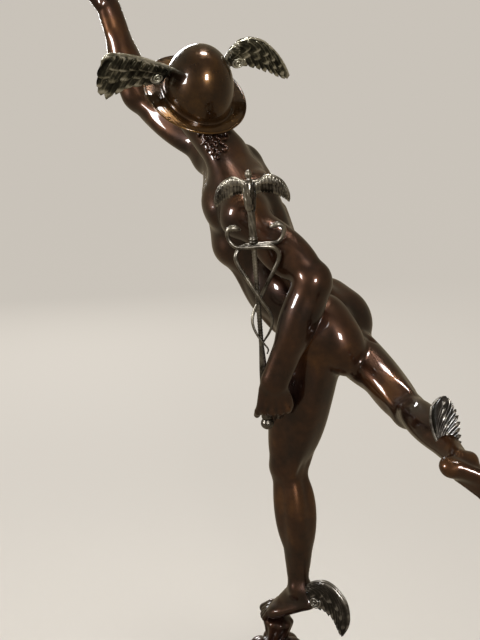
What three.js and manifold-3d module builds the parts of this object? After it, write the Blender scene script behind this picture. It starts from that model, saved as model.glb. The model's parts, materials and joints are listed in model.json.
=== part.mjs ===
import * as THREE from 'three';
import Module from 'manifold-3d';

const wasm = await Module();
wasm.setup();
const { Manifold, Mesh } = wasm;

// Driving sizes, in millimetres.
const stature = 640;
const unit = stature / 1000;
const plinthHeight = 24;
const plinthRadius = 104;
const cloudHeight = 88;
const fit = 0.3;
const footHeight = plinthHeight + fit + cloudHeight + fit;
const footPlace = [-14, -8, footHeight];

// Small vector helpers on plain arrays.
const add = (a, b) => [a[0] + b[0], a[1] + b[1], a[2] + b[2]];
const sub = (a, b) => [a[0] - b[0], a[1] - b[1], a[2] - b[2]];
const mul = (a, s) => [a[0] * s, a[1] * s, a[2] * s];
const dot = (a, b) => a[0] * b[0] + a[1] * b[1] + a[2] * b[2];
const cross = (a, b) => [
  a[1] * b[2] - a[2] * b[1],
  a[2] * b[0] - a[0] * b[2],
  a[0] * b[1] - a[1] * b[0],
];
const size = (a) => Math.hypot(a[0], a[1], a[2]);
const aim = (a) => mul(a, 1 / size(a));
const mix = (a, b, t) => add(mul(a, 1 - t), mul(b, t));
const clamp = (x, low, high) => Math.min(Math.max(x, low), high);

// The figure is laid out in thousandths of its stature, from the underside of the standing
// foot's ball. It faces -Y, and its left is +X.
const pose = {
  hips: [-41, 82, 563],
  hipLeft: [9, 79, 566],
  kneeLeft: [12, 31, 316],
  ankleLeft: [13, 55, 79],
  hipRight: [-85, 74, 557],
  kneeRight: [19, 269, 467],
  ankleRight: [170, 428, 452],
  waist: [-8, 4, 648],
  chest: [16, -62, 772],
  neck: [40, -90, 884],
  head: [65, -136, 985],
  brim: [64, -139, 987],
  shoulderLeft: [98, -16, 788],
  elbowLeft: [92, 127, 682],
  wristLeft: [118, 67, 505],
  shoulderRight: [-25, -160, 872],
  elbowRight: [-2, -330, 984],
  wristRight: [20, -377, 1145],
};

// A local set of directions: left, front and up, like the whole figure's own.
function frameOf(origin, up, front) {
  const top = aim(up);
  const fore = aim(sub(front, mul(top, dot(front, top))));
  return { origin, up: top, front: fore, left: cross(top, fore) };
}

function at(frame, [left, front, up]) {
  return [0, 1, 2].map(
    (i) => frame.origin[i] + frame.left[i] * left + frame.front[i] * front + frame.up[i] * up,
  );
}

const hips = frameOf(pose.hips, [0.12, -0.45, 0.88], [-0.02, -1, -0.3]);
const waist = frameOf(pose.waist, [0.22, -0.5, 0.83], [0.25, -0.9, -0.4]);
const chest = frameOf(pose.chest, [0.3, -0.27, 0.91], [0.5, -0.73, -0.38]);
const head = frameOf(pose.head, [0.256, 0.351, 0.901], [-0.405, -0.807, 0.43]);
const hat = frameOf(pose.brim, [0.369, 0.583, 0.724], [-0.306, -0.659, 0.687]);
const upright = frameOf([0, 0, 0], [0, 0, 1], [0, -1, 0]);

// Soft shapes. Each has a distance function, a middle and a reach, a blend width and a sign.
function oval(frame, centre, radii, blend = 12, cut = false) {
  const middle = at(frame, centre);
  const axes = [frame.left, frame.front, frame.up];
  const distance = (x, y, z) => {
    const d = [x - middle[0], y - middle[1], z - middle[2]];
    let near = 0;
    let slope = 0;
    for (let i = 0; i < 3; i++) {
      const q = dot(d, axes[i]) / radii[i];
      near += q * q;
      slope += (q / radii[i]) ** 2;
    }
    near = Math.sqrt(near);
    return slope > 1e-12 ? (near * (near - 1)) / Math.sqrt(slope) : -Math.min(...radii);
  };
  return { distance, middle, reach: Math.max(...radii), blend, cut };
}

// A rod with round ends whose radius runs from one value to another. It can be pressed flat
// along one direction.
function rod(from, to, radiusFrom, radiusTo, blend = 12, press = null, cut = false) {
  const flat = press ? press.flat : 1;
  const way = press ? aim(press.way) : [0, 0, 1];
  const shrink = (p) => {
    const along = dot(p, way) * (1 / flat - 1);
    return add(p, mul(way, along));
  };
  const start = shrink(from);
  const run = sub(shrink(to), start);
  const span = dot(run, run);
  const taper = (radiusFrom - radiusTo) / Math.sqrt(span);
  const lean = taper / Math.sqrt((1 - taper * taper) * span);
  const distance = (x, y, z) => {
    const p = sub(shrink([x, y, z]), start);
    const along = dot(p, run) / span;
    const wide = Math.sqrt(Math.max(dot(p, p) - along * along * span, 0));
    const t = clamp(along - wide * lean, 0, 1);
    const q = sub(p, mul(run, t));
    const far = size(q);
    const gap = far - (radiusFrom + (radiusTo - radiusFrom) * t);
    if (flat === 1 || far < 1e-9) return gap;
    const across = dot(q, way);
    return gap * (far / Math.sqrt(far * far + across * across * (1 / (flat * flat) - 1)));
  };
  const middle = mix(from, to, 0.5);
  const reach = size(sub(to, from)) / 2 + Math.max(radiusFrom, radiusTo);
  return { distance, middle, reach, blend, cut };
}

// The muscles of a limb, one row each: outward, front and along, then the three radii and the
// blend. What runs along is a share of the limb's length.
function muscles(frame, long, girth, outer, rows) {
  return rows.map(([out, front, along, wide, deep, tall, blend]) =>
    oval(frame, [outer * out * girth, front * girth, -along * long],
      [wide * girth, deep * girth, tall * long], blend));
}

function thigh(hip, knee, kneeFront, outer, girth) {
  const frame = frameOf(hip, sub(hip, knee), kneeFront);
  const long = size(sub(knee, hip));
  return [
    rod(at(frame, [0, 0, 4]), at(frame, [0, 1, -long]), 46 * girth, 30 * girth, 16),
    ...muscles(frame, long, girth, outer, [
      [14, 14, 0.48, 32, 32, 0.47, 16],
      [0, 24, 0.46, 28, 26, 0.45, 16],
      [-17, 14, 0.8, 17, 20, 0.2, 13],
      [19, 13, 0.78, 14, 17, 0.2, 13],
      [13, -22, 0.47, 24, 25, 0.43, 18],
      [-12, -22, 0.46, 24, 26, 0.43, 18],
      [-20, -4, 0.26, 31, 36, 0.34, 16],
      [19, -22, 0.92, 8, 10, 0.14, 9],
      [-18, -21, 0.92, 8, 10, 0.14, 9],
    ]),
  ];
}

function shank(knee, ankle, kneeFront, outer, girth) {
  const frame = frameOf(knee, sub(knee, ankle), kneeFront);
  const long = size(sub(knee, ankle));
  const heelEnd = at(frame, [0, -17, -long]);
  return [
    rod(at(frame, [0, 4, -10]), at(frame, [0, 0, -long]), 26 * girth, 17 * girth, 12),
    ...muscles(frame, long, girth, outer, [
      [0, 4, 0, 31, 30, 0.14, 12],
      [0, 29, -0.01, 13, 9, 0.07, 8],
      [0, 25, 0.1, 9, 8, 0.06, 8],
      [-12, -18, 0.37, 20, 24, 0.3, 14],
      [12, -17, 0.34, 19, 22, 0.28, 14],
      [0, -14, 0.58, 23, 20, 0.32, 14],
      [7, 13, 0.34, 19, 17, 0.29, 14],
    ]),
    rod(at(frame, [0, -12, -0.62 * long]), heelEnd, 9, 7, 9),
    oval(frame, [-outer * 15, 3, -long + 4], [7, 9, 11], 7),
    oval(frame, [outer * 15, -3, -long - 3], [7, 8, 11], 7),
  ];
}

function foot(ankle, { ahead, up, outer, heel, share }) {
  const frame = frameOf(ankle, up, ahead);
  const pad = { flat: 0.7, way: frame.up };
  const spot = ([side, fore, height]) => at(frame, mul([outer * side, fore, height], share));
  const bar = (from, to, radiusFrom, radiusTo, blend, press) =>
    rod(spot(from), spot(to), radiusFrom * share, radiusTo * share, blend, press);
  const shapes = [
    oval(frame, mul([0, heel, -26], share), mul([18, 21, 21], share), 9),
    bar([0, -4, -6], [-4, 50, -26], 21, 17, 12),
    bar([9, -10, -34], [17, 66, -36], 15, 16, 9, pad),
    bar([-6, 6, -20], [-14, 74, -33], 18, 17, 9, pad),
    oval(frame, mul([0, 68, -33], share), mul([31, 24, 14], share), 9),
  ];
  const toes = [
    [-16, 84, -16, 130, 9.4],
    [-4, 88, -5, 121, 7.2],
    [6.5, 85, 8, 113, 6.8],
    [16, 80, 18.5, 104, 6.5],
    [25, 72, 28, 93, 6.2],
  ];
  for (const [side, near, sideEnd, far, radius] of toes) {
    const middle = [mixOf(side, sideEnd, 0.45), mixOf(near, far, 0.45), -33];
    shapes.push(bar([side, near - 6, -35], middle, radius, radius * 0.92, 4));
    shapes.push(bar(middle, [sideEnd, far, -42 + radius / 3], radius * 0.92, radius, 2));
  }
  return shapes;
}

function mixOf(a, b, t) {
  return a + (b - a) * t;
}

function upperArm(shoulder, elbow, bend, outer, girth) {
  const frame = frameOf(shoulder, sub(shoulder, elbow), bend);
  const long = size(sub(elbow, shoulder));
  return [
    rod(at(frame, [outer * 4, 0, -14]), at(frame, [outer * 3, 0, -0.45 * long]),
      30 * girth, 18 * girth, 12),
    rod(at(frame, [0, 0, -20]), at(frame, [0, 0, -long]), 24 * girth, 20 * girth, 12),
    ...muscles(frame, long, girth, outer, [
      [0, 0, 0.04, 34, 36, 0.19, 16],
      [0, 13, 0.55, 19, 20, 0.31, 8],
      [4, -11, 0.63, 20, 22, 0.38, 12],
      [-8, -10, 0.48, 17, 17, 0.32, 10],
      [0, -15, 0.98, 10, 10, 0.09, 9],
    ]),
  ];
}

function forearm(elbow, wrist, palmWay, outer, girth) {
  const frame = frameOf(elbow, sub(elbow, wrist), palmWay);
  const long = size(sub(wrist, elbow));
  const press = { flat: 0.78, way: frame.front };
  return [
    rod(at(frame, [0, 0, -6]), at(frame, [0, 0, -long]), 22 * girth, 19 * girth, 12, press),
    ...muscles(frame, long, girth, outer, [
      [0, -1, 0.03, 20, 18, 0.14, 14],
      [9, 5, 0.3, 18, 19, 0.34, 12],
      [-9, 3, 0.33, 18, 18, 0.37, 12],
      [0, -8, 0.36, 17, 15, 0.38, 12],
    ]),
  ];
}

// The open right hand, lifted in greeting.
function openHand(wrist, reach, palmWay) {
  const frame = frameOf(wrist, reach, palmWay);
  const press = { flat: 0.5, way: frame.front };
  const shapes = [
    rod(at(frame, [0, 0, -4]), at(frame, [0, 0, 16]), 15, 17, 9, { flat: 0.72, way: frame.front }),
    rod(at(frame, [8, 0, 20]), at(frame, [13, 1, 48]), 13, 12, 8, press),
    rod(at(frame, [-8, 0, 20]), at(frame, [-11, 1, 46]), 13, 12, 8, press),
    oval(frame, [0, -1, 34], [22, 8, 24], 8),
    oval(frame, [18, 5, 20], [10, 9, 17], 7),
  ];
  const fingers = [
    [16, 54, 26, 88, 5],
    [5.5, 56, 8, 100, 14],
    [-5, 55, -7, 95, 24],
    [-15, 50, -20, 79, 30],
  ];
  for (const [side, near, sideEnd, far, curl] of fingers) {
    const root = at(frame, [side, 0, near - 8]);
    const knuckle = at(frame, [mixOf(side, sideEnd, 0.5), curl * 0.2, mixOf(near, far, 0.5)]);
    const tip = at(frame, [sideEnd, curl * 0.75, far]);
    shapes.push(rod(root, knuckle, 5.8, 5.2, 4));
    shapes.push(rod(knuckle, tip, 5.2, 4.2, 2));
  }
  shapes.push(rod(at(frame, [20, 4, 14]), at(frame, [34, 10, 36]), 8, 6.4, 6));
  shapes.push(rod(at(frame, [34, 10, 36]), at(frame, [38, 13, 57]), 6.2, 5, 2));
  return shapes;
}

// The lowered left hand closes round the staff, its first finger beside it.
function holdingHand(frame) {
  const spot = (p) => at(frame, mul(p, 1.1));
  const press = { flat: 0.55, way: frame.front };
  const shapes = [
    rod(spot([0, 0, 4]), spot([0, 0, -14]), 18, 19, 9, { flat: 0.72, way: frame.front }),
    rod(spot([13, 0, -14]), spot([19, 0, -43]), 15, 14, 8, press),
    rod(spot([-6, 0, -18]), spot([-13, 0, -44]), 14.5, 14, 8, press),
    oval(frame, [2, -3, -38], [28, 9, 28], 8),
    oval(frame, [12, 10, -22], [11, 10, 18], 7),
    rod(spot([23, -2, -38]), spot([30, 1, -50]), 7.4, 6.8, 5),
    rod(spot([30, 1, -50]), spot([33, 6, -59]), 6.8, 5.6, 2),
  ];
  for (const [side, low] of [[9, -74], [-4, -69], [-16, -60]]) {
    const second = spot([side + 1, 14, low]);
    const third = spot([side, 28, low + 13]);
    shapes.push(rod(spot([side, 1, -50]), second, 7.6, 7, 4));
    shapes.push(rod(second, third, 7, 6.4, 2));
    shapes.push(rod(third, spot([side, 25, low + 31]), 6.4, 5.4, 2));
  }
  shapes.push(rod(spot([14, 10, -16]), spot([18, 26, -32]), 8, 7, 6));
  shapes.push(rod(spot([18, 26, -32]), spot([10, 31, -50]), 7, 5.6, 2));
  return shapes;
}

function trunk() {
  const shapes = [
    oval(hips, [0, -2, 14], [86, 56, 52], 20),
    oval(hips, [0, 34, 34], [72, 46, 60], 20),
    oval(waist, [0, 10, 4], [74, 55, 72], 24),
    oval(chest, [0, 4, -18], [80, 70, 88], 24),
    oval(chest, [0, -4, 52], [82, 56, 58], 20),
    oval(hips, [44, -30, -12], [42, 42, 68], 7),
    oval(hips, [36, -34, 26], [38, 34, 46], 9),
    oval(hips, [-41, -24, 10], [40, 42, 56], 9),
    oval(chest, [-38, -36, 74], [30, 30, 44], 14),
  ];
  shapes.push(rod(at(hips, [0, 14, 30]), at(chest, [0, 12, -50]), 64, 66, 20,
    { flat: 0.84, way: waist.front }));
  for (const side of [1, -1]) {
    shapes.push(oval(hips, [side * 66, -2, 8], [28, 42, 46], 16));
    shapes.push(oval(hips, [side * 54, 6, 56], [32, 40, 38], 22));
    shapes.push(oval(chest, [side * 54, -30, -30], [31, 36, 78], 14));
    shapes.push(oval(chest, [side * 62, -32, 26], [31, 33, 48], 14));
    shapes.push(oval(chest, [side * 38, 42, 32], [42, 24, 36], 10));
    shapes.push(oval(chest, [side * 43, -47, 30], [34, 21, 40], 12));
    shapes.push(oval(waist, [side * 20, -32, -4], [18, 18, 68], 14));
    shapes.push(oval(chest, [side * 26, 50, -36], [36, 28, 30], 16));
    shapes.push(rod(at(hips, [side * 15, -28, 44]), at(waist, [side * 20, -30, 0]), 14, 17, 18));
    shapes.push(rod(at(waist, [side * 20, -30, 0]), at(chest, [side * 21, -54, -20]), 17, 17, 14));
    shapes.push(oval(waist, [side * 20, 52, 6], [19, 10, 70], 12));
  }
  return shapes;
}

function shouldersAndNeck() {
  const shapes = [];
  const nape = at(head, [0, -20, -36]);
  shapes.push(rod(pose.neck, at(head, [0, -12, -40]), 37, 33, 14));
  shapes.push(rod(at(chest, [0, -18, 70]), nape, 38, 20, 14));
  for (const [shoulder, side] of [[pose.shoulderLeft, 1], [pose.shoulderRight, -1]]) {
    const inner = at(chest, [side * 12, -8, 96]);
    shapes.push(rod(inner, mix(shoulder, inner, 0.12), 33, 28, 16));
    shapes.push(rod(at(chest, [side * 34, 24, 54]), mix(shoulder, inner, 0.1), 34, 27, 18));
    shapes.push(rod(at(chest, [side * 62, -34, -12]), mix(shoulder, inner, 0.08), 30, 25, 16));
    shapes.push(rod(nape, mix(shoulder, inner, 0.25), 17, 20, 24));
    shapes.push(rod(at(chest, [side * 40, -38, 46]), shoulder, 24, 26, 16));
  }
  return shapes;
}

function headShapes() {
  const shapes = [
    oval(head, [0, -9, 17], [48, 58, 54], 8),
    oval(hat, [0, -13, 20], [51, 57, 66], 8),
    oval(head, [0, 15, -12], [38, 40, 48], 10),
    oval(head, [0, 21, -42], [28, 27, 23], 10),
    oval(head, [0, 40, -53], [11, 9, 9], 8),
    rod(at(head, [0, 52, 8]), at(head, [0, 63, -12]), 4.4, 5.6, 5),
    oval(head, [0, 59, -15], [9, 5, 4.6], 4),
    oval(head, [0, 53.5, -27], [12.5, 5, 3.8], 4),
    oval(head, [0, 51.5, -34.5], [10.5, 5, 4], 4),
  ];
  for (const side of [1, -1]) {
    shapes.push(rod(at(head, [side * 6, 53, 12]), at(head, [side * 27, 44, 12]), 4.7, 4.2, 6));
    shapes.push(oval(head, [side * 16.5, 55, 2], [9.5, 9.5, 6.3], 6, true));
    shapes.push(oval(head, [side * 16.5, 45.5, 1], [9, 8, 6.8], 2.5));
    shapes.push(oval(head, [side * 26, 36, -13], [9.5, 9.5, 10.5], 9));
    shapes.push(oval(head, [side * 44, -6, -8], [5, 11.5, 17], 4));
  }
  for (let i = 0; i < 9; i++) {
    const turn = (-0.5 + i / 8) * 2.9;
    const [sine, cosine] = [Math.sin(turn), Math.cos(turn)];
    shapes.push(oval(head, [45 * sine, -9 - 48 * cosine, -14 - 6 * Math.cos(2 * turn)],
      [11.5, 11.5, 14], 5));
    if (i > 0 && i < 8) {
      shapes.push(oval(head, [40 * sine, -9 - 44 * cosine, -34], [10.5, 10.5, 11], 5));
    }
  }
  return shapes;
}

function creases() {
  return [
    rod(at(chest, [0, -74, 84]), at(chest, [0, -76, 0]), 3, 4, 13, null, true),
    rod(at(chest, [0, -76, 0]), at(waist, [0, -50, 0]), 4, 5, 13, null, true),
    rod(at(waist, [0, -50, 0]), at(hips, [0, -58, 40]), 5, 3, 13, null, true),
    rod(at(hips, [0, -80, 20]), at(hips, [0, -72, -48]), 2.5, 5, 9, null, true),
    rod(at(chest, [0, 70, 50]), at(waist, [0, 65, 10]), 5, 5, 12, null, true),
    oval(waist, [0, 62, -22], [7, 8, 8], 8, true),
  ];
}

const standingFoot = {
  ahead: [-0.084, -0.897, -0.43], up: [0.13, -0.455, 0.87], outer: 1, heel: -9, share: 1,
};
const trailingFoot = {
  ahead: [-0.166, 0.861, -0.486], up: [-0.9, -0.326, 0.263], outer: -1, heel: -22, share: 0.85,
};
const handLeft = frameOf(pose.wristLeft, [0.25, 0.05, 0.95], [-0.8, -0.6, 0.1]);
const bendLeft = [0.171, -0.514, -0.822];
const bendRight = [0.066, 0.567, 0.82];

function figureShapes() {
  return [
    ...trunk(),
    ...shouldersAndNeck(),
    ...thigh(pose.hipLeft, pose.kneeLeft, [-0.1, -1, 0], 1, 1.06),
    ...thigh(pose.hipRight, pose.kneeRight, [-0.64, 0.06, -0.765], -1, 0.88),
    ...creases(),
    ...shank(pose.kneeLeft, pose.ankleLeft, [-0.12, -1, 0], 1, 1.02),
    ...shank(pose.kneeRight, pose.ankleRight, [-0.4, 0.3, -0.85], -1, 0.9),
    ...foot(pose.ankleLeft, standingFoot),
    ...foot(pose.ankleRight, trailingFoot),
    ...upperArm(pose.shoulderLeft, pose.elbowLeft, bendLeft, 1, 1.22),
    ...forearm(pose.elbowLeft, pose.wristLeft, [-0.8, -0.56, 0.1], 1, 1.28),
    ...upperArm(pose.shoulderRight, pose.elbowRight, bendRight, -1, 1.12),
    ...forearm(pose.elbowRight, pose.wristRight, [-0.6, -0.75, -0.2], 1, 1.2),
    ...openHand(pose.wristRight, [0.12, -0.16, 0.98], [-0.25, -0.95, -0.2]),
    ...holdingHand(handLeft),
    ...headShapes(),
  ];
}

// Values of a set of soft shapes at the points of a regular grid.
const margin = 34;
const farAway = 60;

function sample(shapes, { step, low, high }) {
  const count = [0, 1, 2].map((i) => Math.ceil((high[i] - low[i]) / step) + 1);
  const values = new Float32Array(count[0] * count[1] * count[2]).fill(farAway);
  for (const shape of shapes) {
    const from = [0, 1, 2].map((i) =>
      Math.max(0, Math.floor((shape.middle[i] - shape.reach - margin - low[i]) / step)));
    const to = [0, 1, 2].map((i) =>
      Math.min(count[i] - 1, Math.ceil((shape.middle[i] + shape.reach + margin - low[i]) / step)));
    for (let k = from[2]; k <= to[2]; k++) {
      for (let j = from[1]; j <= to[1]; j++) {
        for (let i = from[0]; i <= to[0]; i++) {
          const index = i + count[0] * (j + count[1] * k);
          const d = shape.distance(low[0] + i * step, low[1] + j * step, low[2] + k * step);
          values[index] = shape.cut
            ? -blendMin(-values[index], d, shape.blend)
            : blendMin(values[index], d, shape.blend);
        }
      }
    }
  }
  return { values, count, low, step };
}

function blendMin(a, b, width) {
  const h = Math.max(width - Math.abs(a - b), 0) / width;
  return Math.min(a, b) - (h * h * width) / 4;
}

// A closed triangle surface where the grid's values cross zero, cut out of tetrahedra.
function surfaceOf({ values, count, low, step }) {
  const corners = [0, 1, count[0], count[0] + 1].flatMap((c) => [c, c + count[0] * count[1]]);
  const order = [corners[0], corners[2], corners[4], corners[6],
    corners[1], corners[3], corners[5], corners[7]];
  const tetrahedra = [[0, 1, 3, 7], [0, 3, 2, 7], [0, 2, 6, 7],
    [0, 6, 4, 7], [0, 4, 5, 7], [0, 5, 1, 7]];
  const turns = {
    1: [0, 1, 2, 3], 2: [1, 0, 3, 2], 4: [2, 0, 1, 3], 8: [3, 0, 2, 1],
    3: [0, 1, 2, 3], 5: [0, 2, 3, 1], 9: [0, 3, 1, 2],
    6: [1, 2, 0, 3], 10: [1, 3, 2, 0], 12: [2, 3, 0, 1],
  };
  const points = [];
  const faces = [];
  const known = new Map();
  const placeOf = (n) => {
    const k = Math.floor(n / (count[0] * count[1]));
    const rest = n - k * count[0] * count[1];
    const j = Math.floor(rest / count[0]);
    return [low[0] + (rest - j * count[0]) * step, low[1] + j * step, low[2] + k * step];
  };
  const crossing = (a, b) => {
    const key = a < b ? a * 4194304 * 4 + b : b * 4194304 * 4 + a;
    if (!known.has(key)) {
      const t = clamp(values[a] / (values[a] - values[b]), 0.04, 0.96);
      known.set(key, points.length);
      points.push(mix(placeOf(a), placeOf(b), t));
    }
    return known.get(key);
  };
  for (let k = 0; k < count[2] - 1; k++) {
    for (let j = 0; j < count[1] - 1; j++) {
      for (let i = 0; i < count[0] - 1; i++) {
        const base = i + count[0] * (j + count[1] * k);
        let inside = 0;
        for (const corner of order) inside += values[base + corner] < 0 ? 1 : 0;
        if (inside === 0 || inside === 8) continue;
        for (const tetrahedron of tetrahedra) {
          const ends = tetrahedron.map((c) => base + order[c]);
          const mask = ends.reduce((m, n, c) => m | (values[n] < 0 ? 1 << c : 0), 0);
          if (mask === 0 || mask === 15) continue;
          const lone = turns[15 - mask] && [7, 11, 13, 14].includes(mask);
          const [a, b, c, d] = turns[lone ? 15 - mask : mask].map((n) => ends[n]);
          if (lone) {
            faces.push([crossing(a, b), crossing(a, d), crossing(a, c)]);
          } else if ([1, 2, 4, 8].includes(mask)) {
            faces.push([crossing(a, b), crossing(a, c), crossing(a, d)]);
          } else {
            const quad = [crossing(a, c), crossing(a, d), crossing(b, d), crossing(b, c)];
            faces.push([quad[0], quad[1], quad[2]], [quad[0], quad[2], quad[3]]);
          }
        }
      }
    }
  }
  return { points, faces };
}

// Edges are collapsed from the least costly on, until the wanted number of faces is left.
function lighten({ points, faces }, wanted, weightAt) {
  const place = points.map((p) => [...p]);
  const ring = points.map(() => new Set());
  const alive = faces.map(() => true);
  const errors = points.map(() => new Float64Array(10));
  faces.forEach((face, f) => {
    const [a, b, c] = face.map((n) => place[n]);
    const normal = cross(sub(b, a), sub(c, a));
    const area = size(normal);
    face.forEach((n) => ring[n].add(f));
    if (area < 1e-12) return;
    const [x, y, z] = mul(normal, 1 / area);
    const w = -dot([x, y, z], a);
    const plane = [x * x, x * y, x * z, x * w, y * y, y * z, y * w, z * z, z * w, w * w];
    face.forEach((n) => plane.forEach((v, i) => { errors[n][i] += v * area; }));
  });
  points.forEach((p, n) => {
    const weight = weightAt(p);
    for (let i = 0; i < 10; i++) errors[n][i] *= weight;
  });
  const costAt = (q, [x, y, z]) =>
    q[0] * x * x + 2 * q[1] * x * y + 2 * q[2] * x * z + 2 * q[3] * x
    + q[4] * y * y + 2 * q[5] * y * z + 2 * q[6] * y + q[7] * z * z + 2 * q[8] * z + q[9];
  const best = (a, b) => {
    const q = errors[a].map((v, i) => v + errors[b][i]);
    const middle = mix(place[a], place[b], 0.5);
    const options = [middle, place[a], place[b]];
    const rows = [[q[0], q[1], q[2]], [q[1], q[4], q[5]], [q[2], q[5], q[7]]];
    const det = dot(rows[0], cross(rows[1], rows[2]));
    if (Math.abs(det) > 1e-6) {
      const right = [-q[3], -q[6], -q[8]];
      const spot = [
        dot(right, cross(rows[1], rows[2])),
        dot(rows[0], cross(right, rows[2])),
        dot(rows[0], cross(rows[1], right)),
      ].map((v) => v / det);
      if (size(sub(spot, middle)) < 2 * size(sub(place[a], place[b]))) options.unshift(spot);
    }
    let chosen = null;
    for (const option of options) {
      const cost = costAt(q, option) + 1e-3 * size(sub(place[a], place[b])) ** 2;
      if (!chosen || cost < chosen.cost) chosen = { spot: option, cost };
    }
    return chosen;
  };
  const stamp = new Int32Array(points.length);
  const heap = [];
  const push = (a, b) => {
    const { spot, cost } = best(a, b);
    heap.push({ a, b, spot, cost, stamps: stamp[a] + stamp[b] });
    let i = heap.length - 1;
    while (i > 0) {
      const parent = (i - 1) >> 1;
      if (heap[parent].cost <= heap[i].cost) break;
      [heap[parent], heap[i]] = [heap[i], heap[parent]];
      i = parent;
    }
  };
  const pop = () => {
    const top = heap[0];
    const last = heap.pop();
    if (heap.length) {
      heap[0] = last;
      let i = 0;
      for (;;) {
        const child = 2 * i + 1;
        if (child >= heap.length) break;
        const lesser = child + 1 < heap.length && heap[child + 1].cost < heap[child].cost
          ? child + 1 : child;
        if (heap[i].cost <= heap[lesser].cost) break;
        [heap[lesser], heap[i]] = [heap[i], heap[lesser]];
        i = lesser;
      }
    }
    return top;
  };
  const neighbours = (n) => {
    const found = new Set();
    for (const f of ring[n]) faces[f].forEach((m) => m !== n && found.add(m));
    return found;
  };
  const flips = (n, other, spot) => {
    for (const f of ring[n]) {
      if (faces[f].includes(other)) continue;
      const old = faces[f].map((m) => place[m]);
      const moved = faces[f].map((m) => (m === n ? spot : place[m]));
      const before = cross(sub(old[1], old[0]), sub(old[2], old[0]));
      const after = cross(sub(moved[1], moved[0]), sub(moved[2], moved[0]));
      if (dot(before, after) < 0.25 * size(before) * size(after)) return true;
      if (size(after) < 1e-3) return true;
    }
    return false;
  };
  points.forEach((p, n) => neighbours(n).forEach((m) => { if (n < m) push(n, m); }));
  let left = faces.length;
  while (left > wanted && heap.length) {
    const { a, b, spot, stamps } = pop();
    if (stamps !== stamp[a] + stamp[b] || !ring[a].size || !ring[b].size) continue;
    const nearA = neighbours(a);
    if (!nearA.has(b)) continue;
    const shared = [...neighbours(b)].filter((n) => nearA.has(n));
    if (shared.length !== 2 || flips(a, b, spot) || flips(b, a, spot)) continue;
    for (const f of [...ring[b]]) {
      if (faces[f].includes(a)) {
        faces[f].forEach((n) => ring[n].delete(f));
        alive[f] = false;
        left -= 1;
      } else {
        faces[f] = faces[f].map((n) => (n === b ? a : n));
        ring[a].add(f);
      }
    }
    ring[b].clear();
    place[a] = spot;
    errors[a].forEach((v, i) => { errors[a][i] = v + errors[b][i]; });
    stamp[a] += 1;
    stamp[b] += 1;
    for (const n of neighbours(a)) push(a, n);
  }
  return { points: place, faces: faces.filter((f, i) => alive[i]) };
}

function solidOf({ points, faces }) {
  const used = new Map();
  const kept = [];
  const triangles = faces.flat().map((n) => {
    if (!used.has(n)) {
      used.set(n, kept.length / 3);
      kept.push(...points[n]);
    }
    return used.get(n);
  });
  const mesh = new Mesh({
    numProp: 3,
    vertProperties: new Float32Array(kept),
    triVerts: new Uint32Array(triangles),
  });
  return new Manifold(mesh);
}

const toPlace = (p) => add(mul(p, unit), footPlace);

function softSolid(shapes, grid, triangles, weightAt) {
  const light = lighten(surfaceOf(sample(shapes, grid)), triangles, weightAt);
  return solidOf({ points: light.points.map(toPlace), faces: light.faces });
}

// A solid turned round the Z axis from a profile of [radius, height] points, both of whose ends
// lie on the axis. It can be wider one way than the other.
function turned(profile, segments, wide = 1, deep = 1) {
  const points = [];
  const rings = profile.map(([radius, height]) => {
    const first = points.length;
    const places = radius === 0 ? 1 : segments;
    for (let j = 0; j < places; j++) {
      const angle = (2 * Math.PI * j) / segments;
      points.push([radius * wide * Math.cos(angle), radius * deep * Math.sin(angle), height]);
    }
    return { first, places };
  });
  const pick = (ring, j) => ring.first + (j % ring.places);
  return solidOf({ points, faces: strips(rings, segments, pick) });
}

// Triangles between neighbouring rings of points. A ring of one point closes an end.
function strips(rings, segments, pick) {
  const faces = [];
  for (let i = 0; i + 1 < rings.length; i++) {
    for (let j = 0; j < segments; j++) {
      const [a, b] = [pick(rings[i], j), pick(rings[i], j + 1)];
      const [c, d] = [pick(rings[i + 1], j), pick(rings[i + 1], j + 1)];
      if (c !== d) faces.push([a, c, d]);
      if (a !== b) faces.push([a, d, b]);
    }
  }
  return faces;
}

// A round bar along a line of points, with a radius for each, closed by a point at each end.
function tube(path, radii, sides) {
  const points = [path[0]];
  const rings = [{ first: 0, places: 1 }];
  let across = [0, 0, 1];
  for (let i = 1; i + 1 < path.length; i++) {
    const along = aim(sub(path[i + 1], path[i - 1]));
    across = aim(sub(across, mul(along, dot(across, along))));
    const third = cross(along, across);
    rings.push({ first: points.length, places: sides });
    for (let j = 0; j < sides; j++) {
      const angle = (2 * Math.PI * j) / sides;
      const spoke = add(mul(across, Math.cos(angle)), mul(third, -Math.sin(angle)));
      points.push(add(path[i], mul(spoke, radii[i])));
    }
  }
  rings.push({ first: points.length, places: 1 });
  points.push(path[path.length - 1]);
  const pick = (ring, j) => ring.first + (j % ring.places);
  return { points, faces: strips(rings, sides, pick) };
}

const curve = (points) => new THREE.CatmullRomCurve3(points.map((p) => new THREE.Vector3(...p)));

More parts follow.
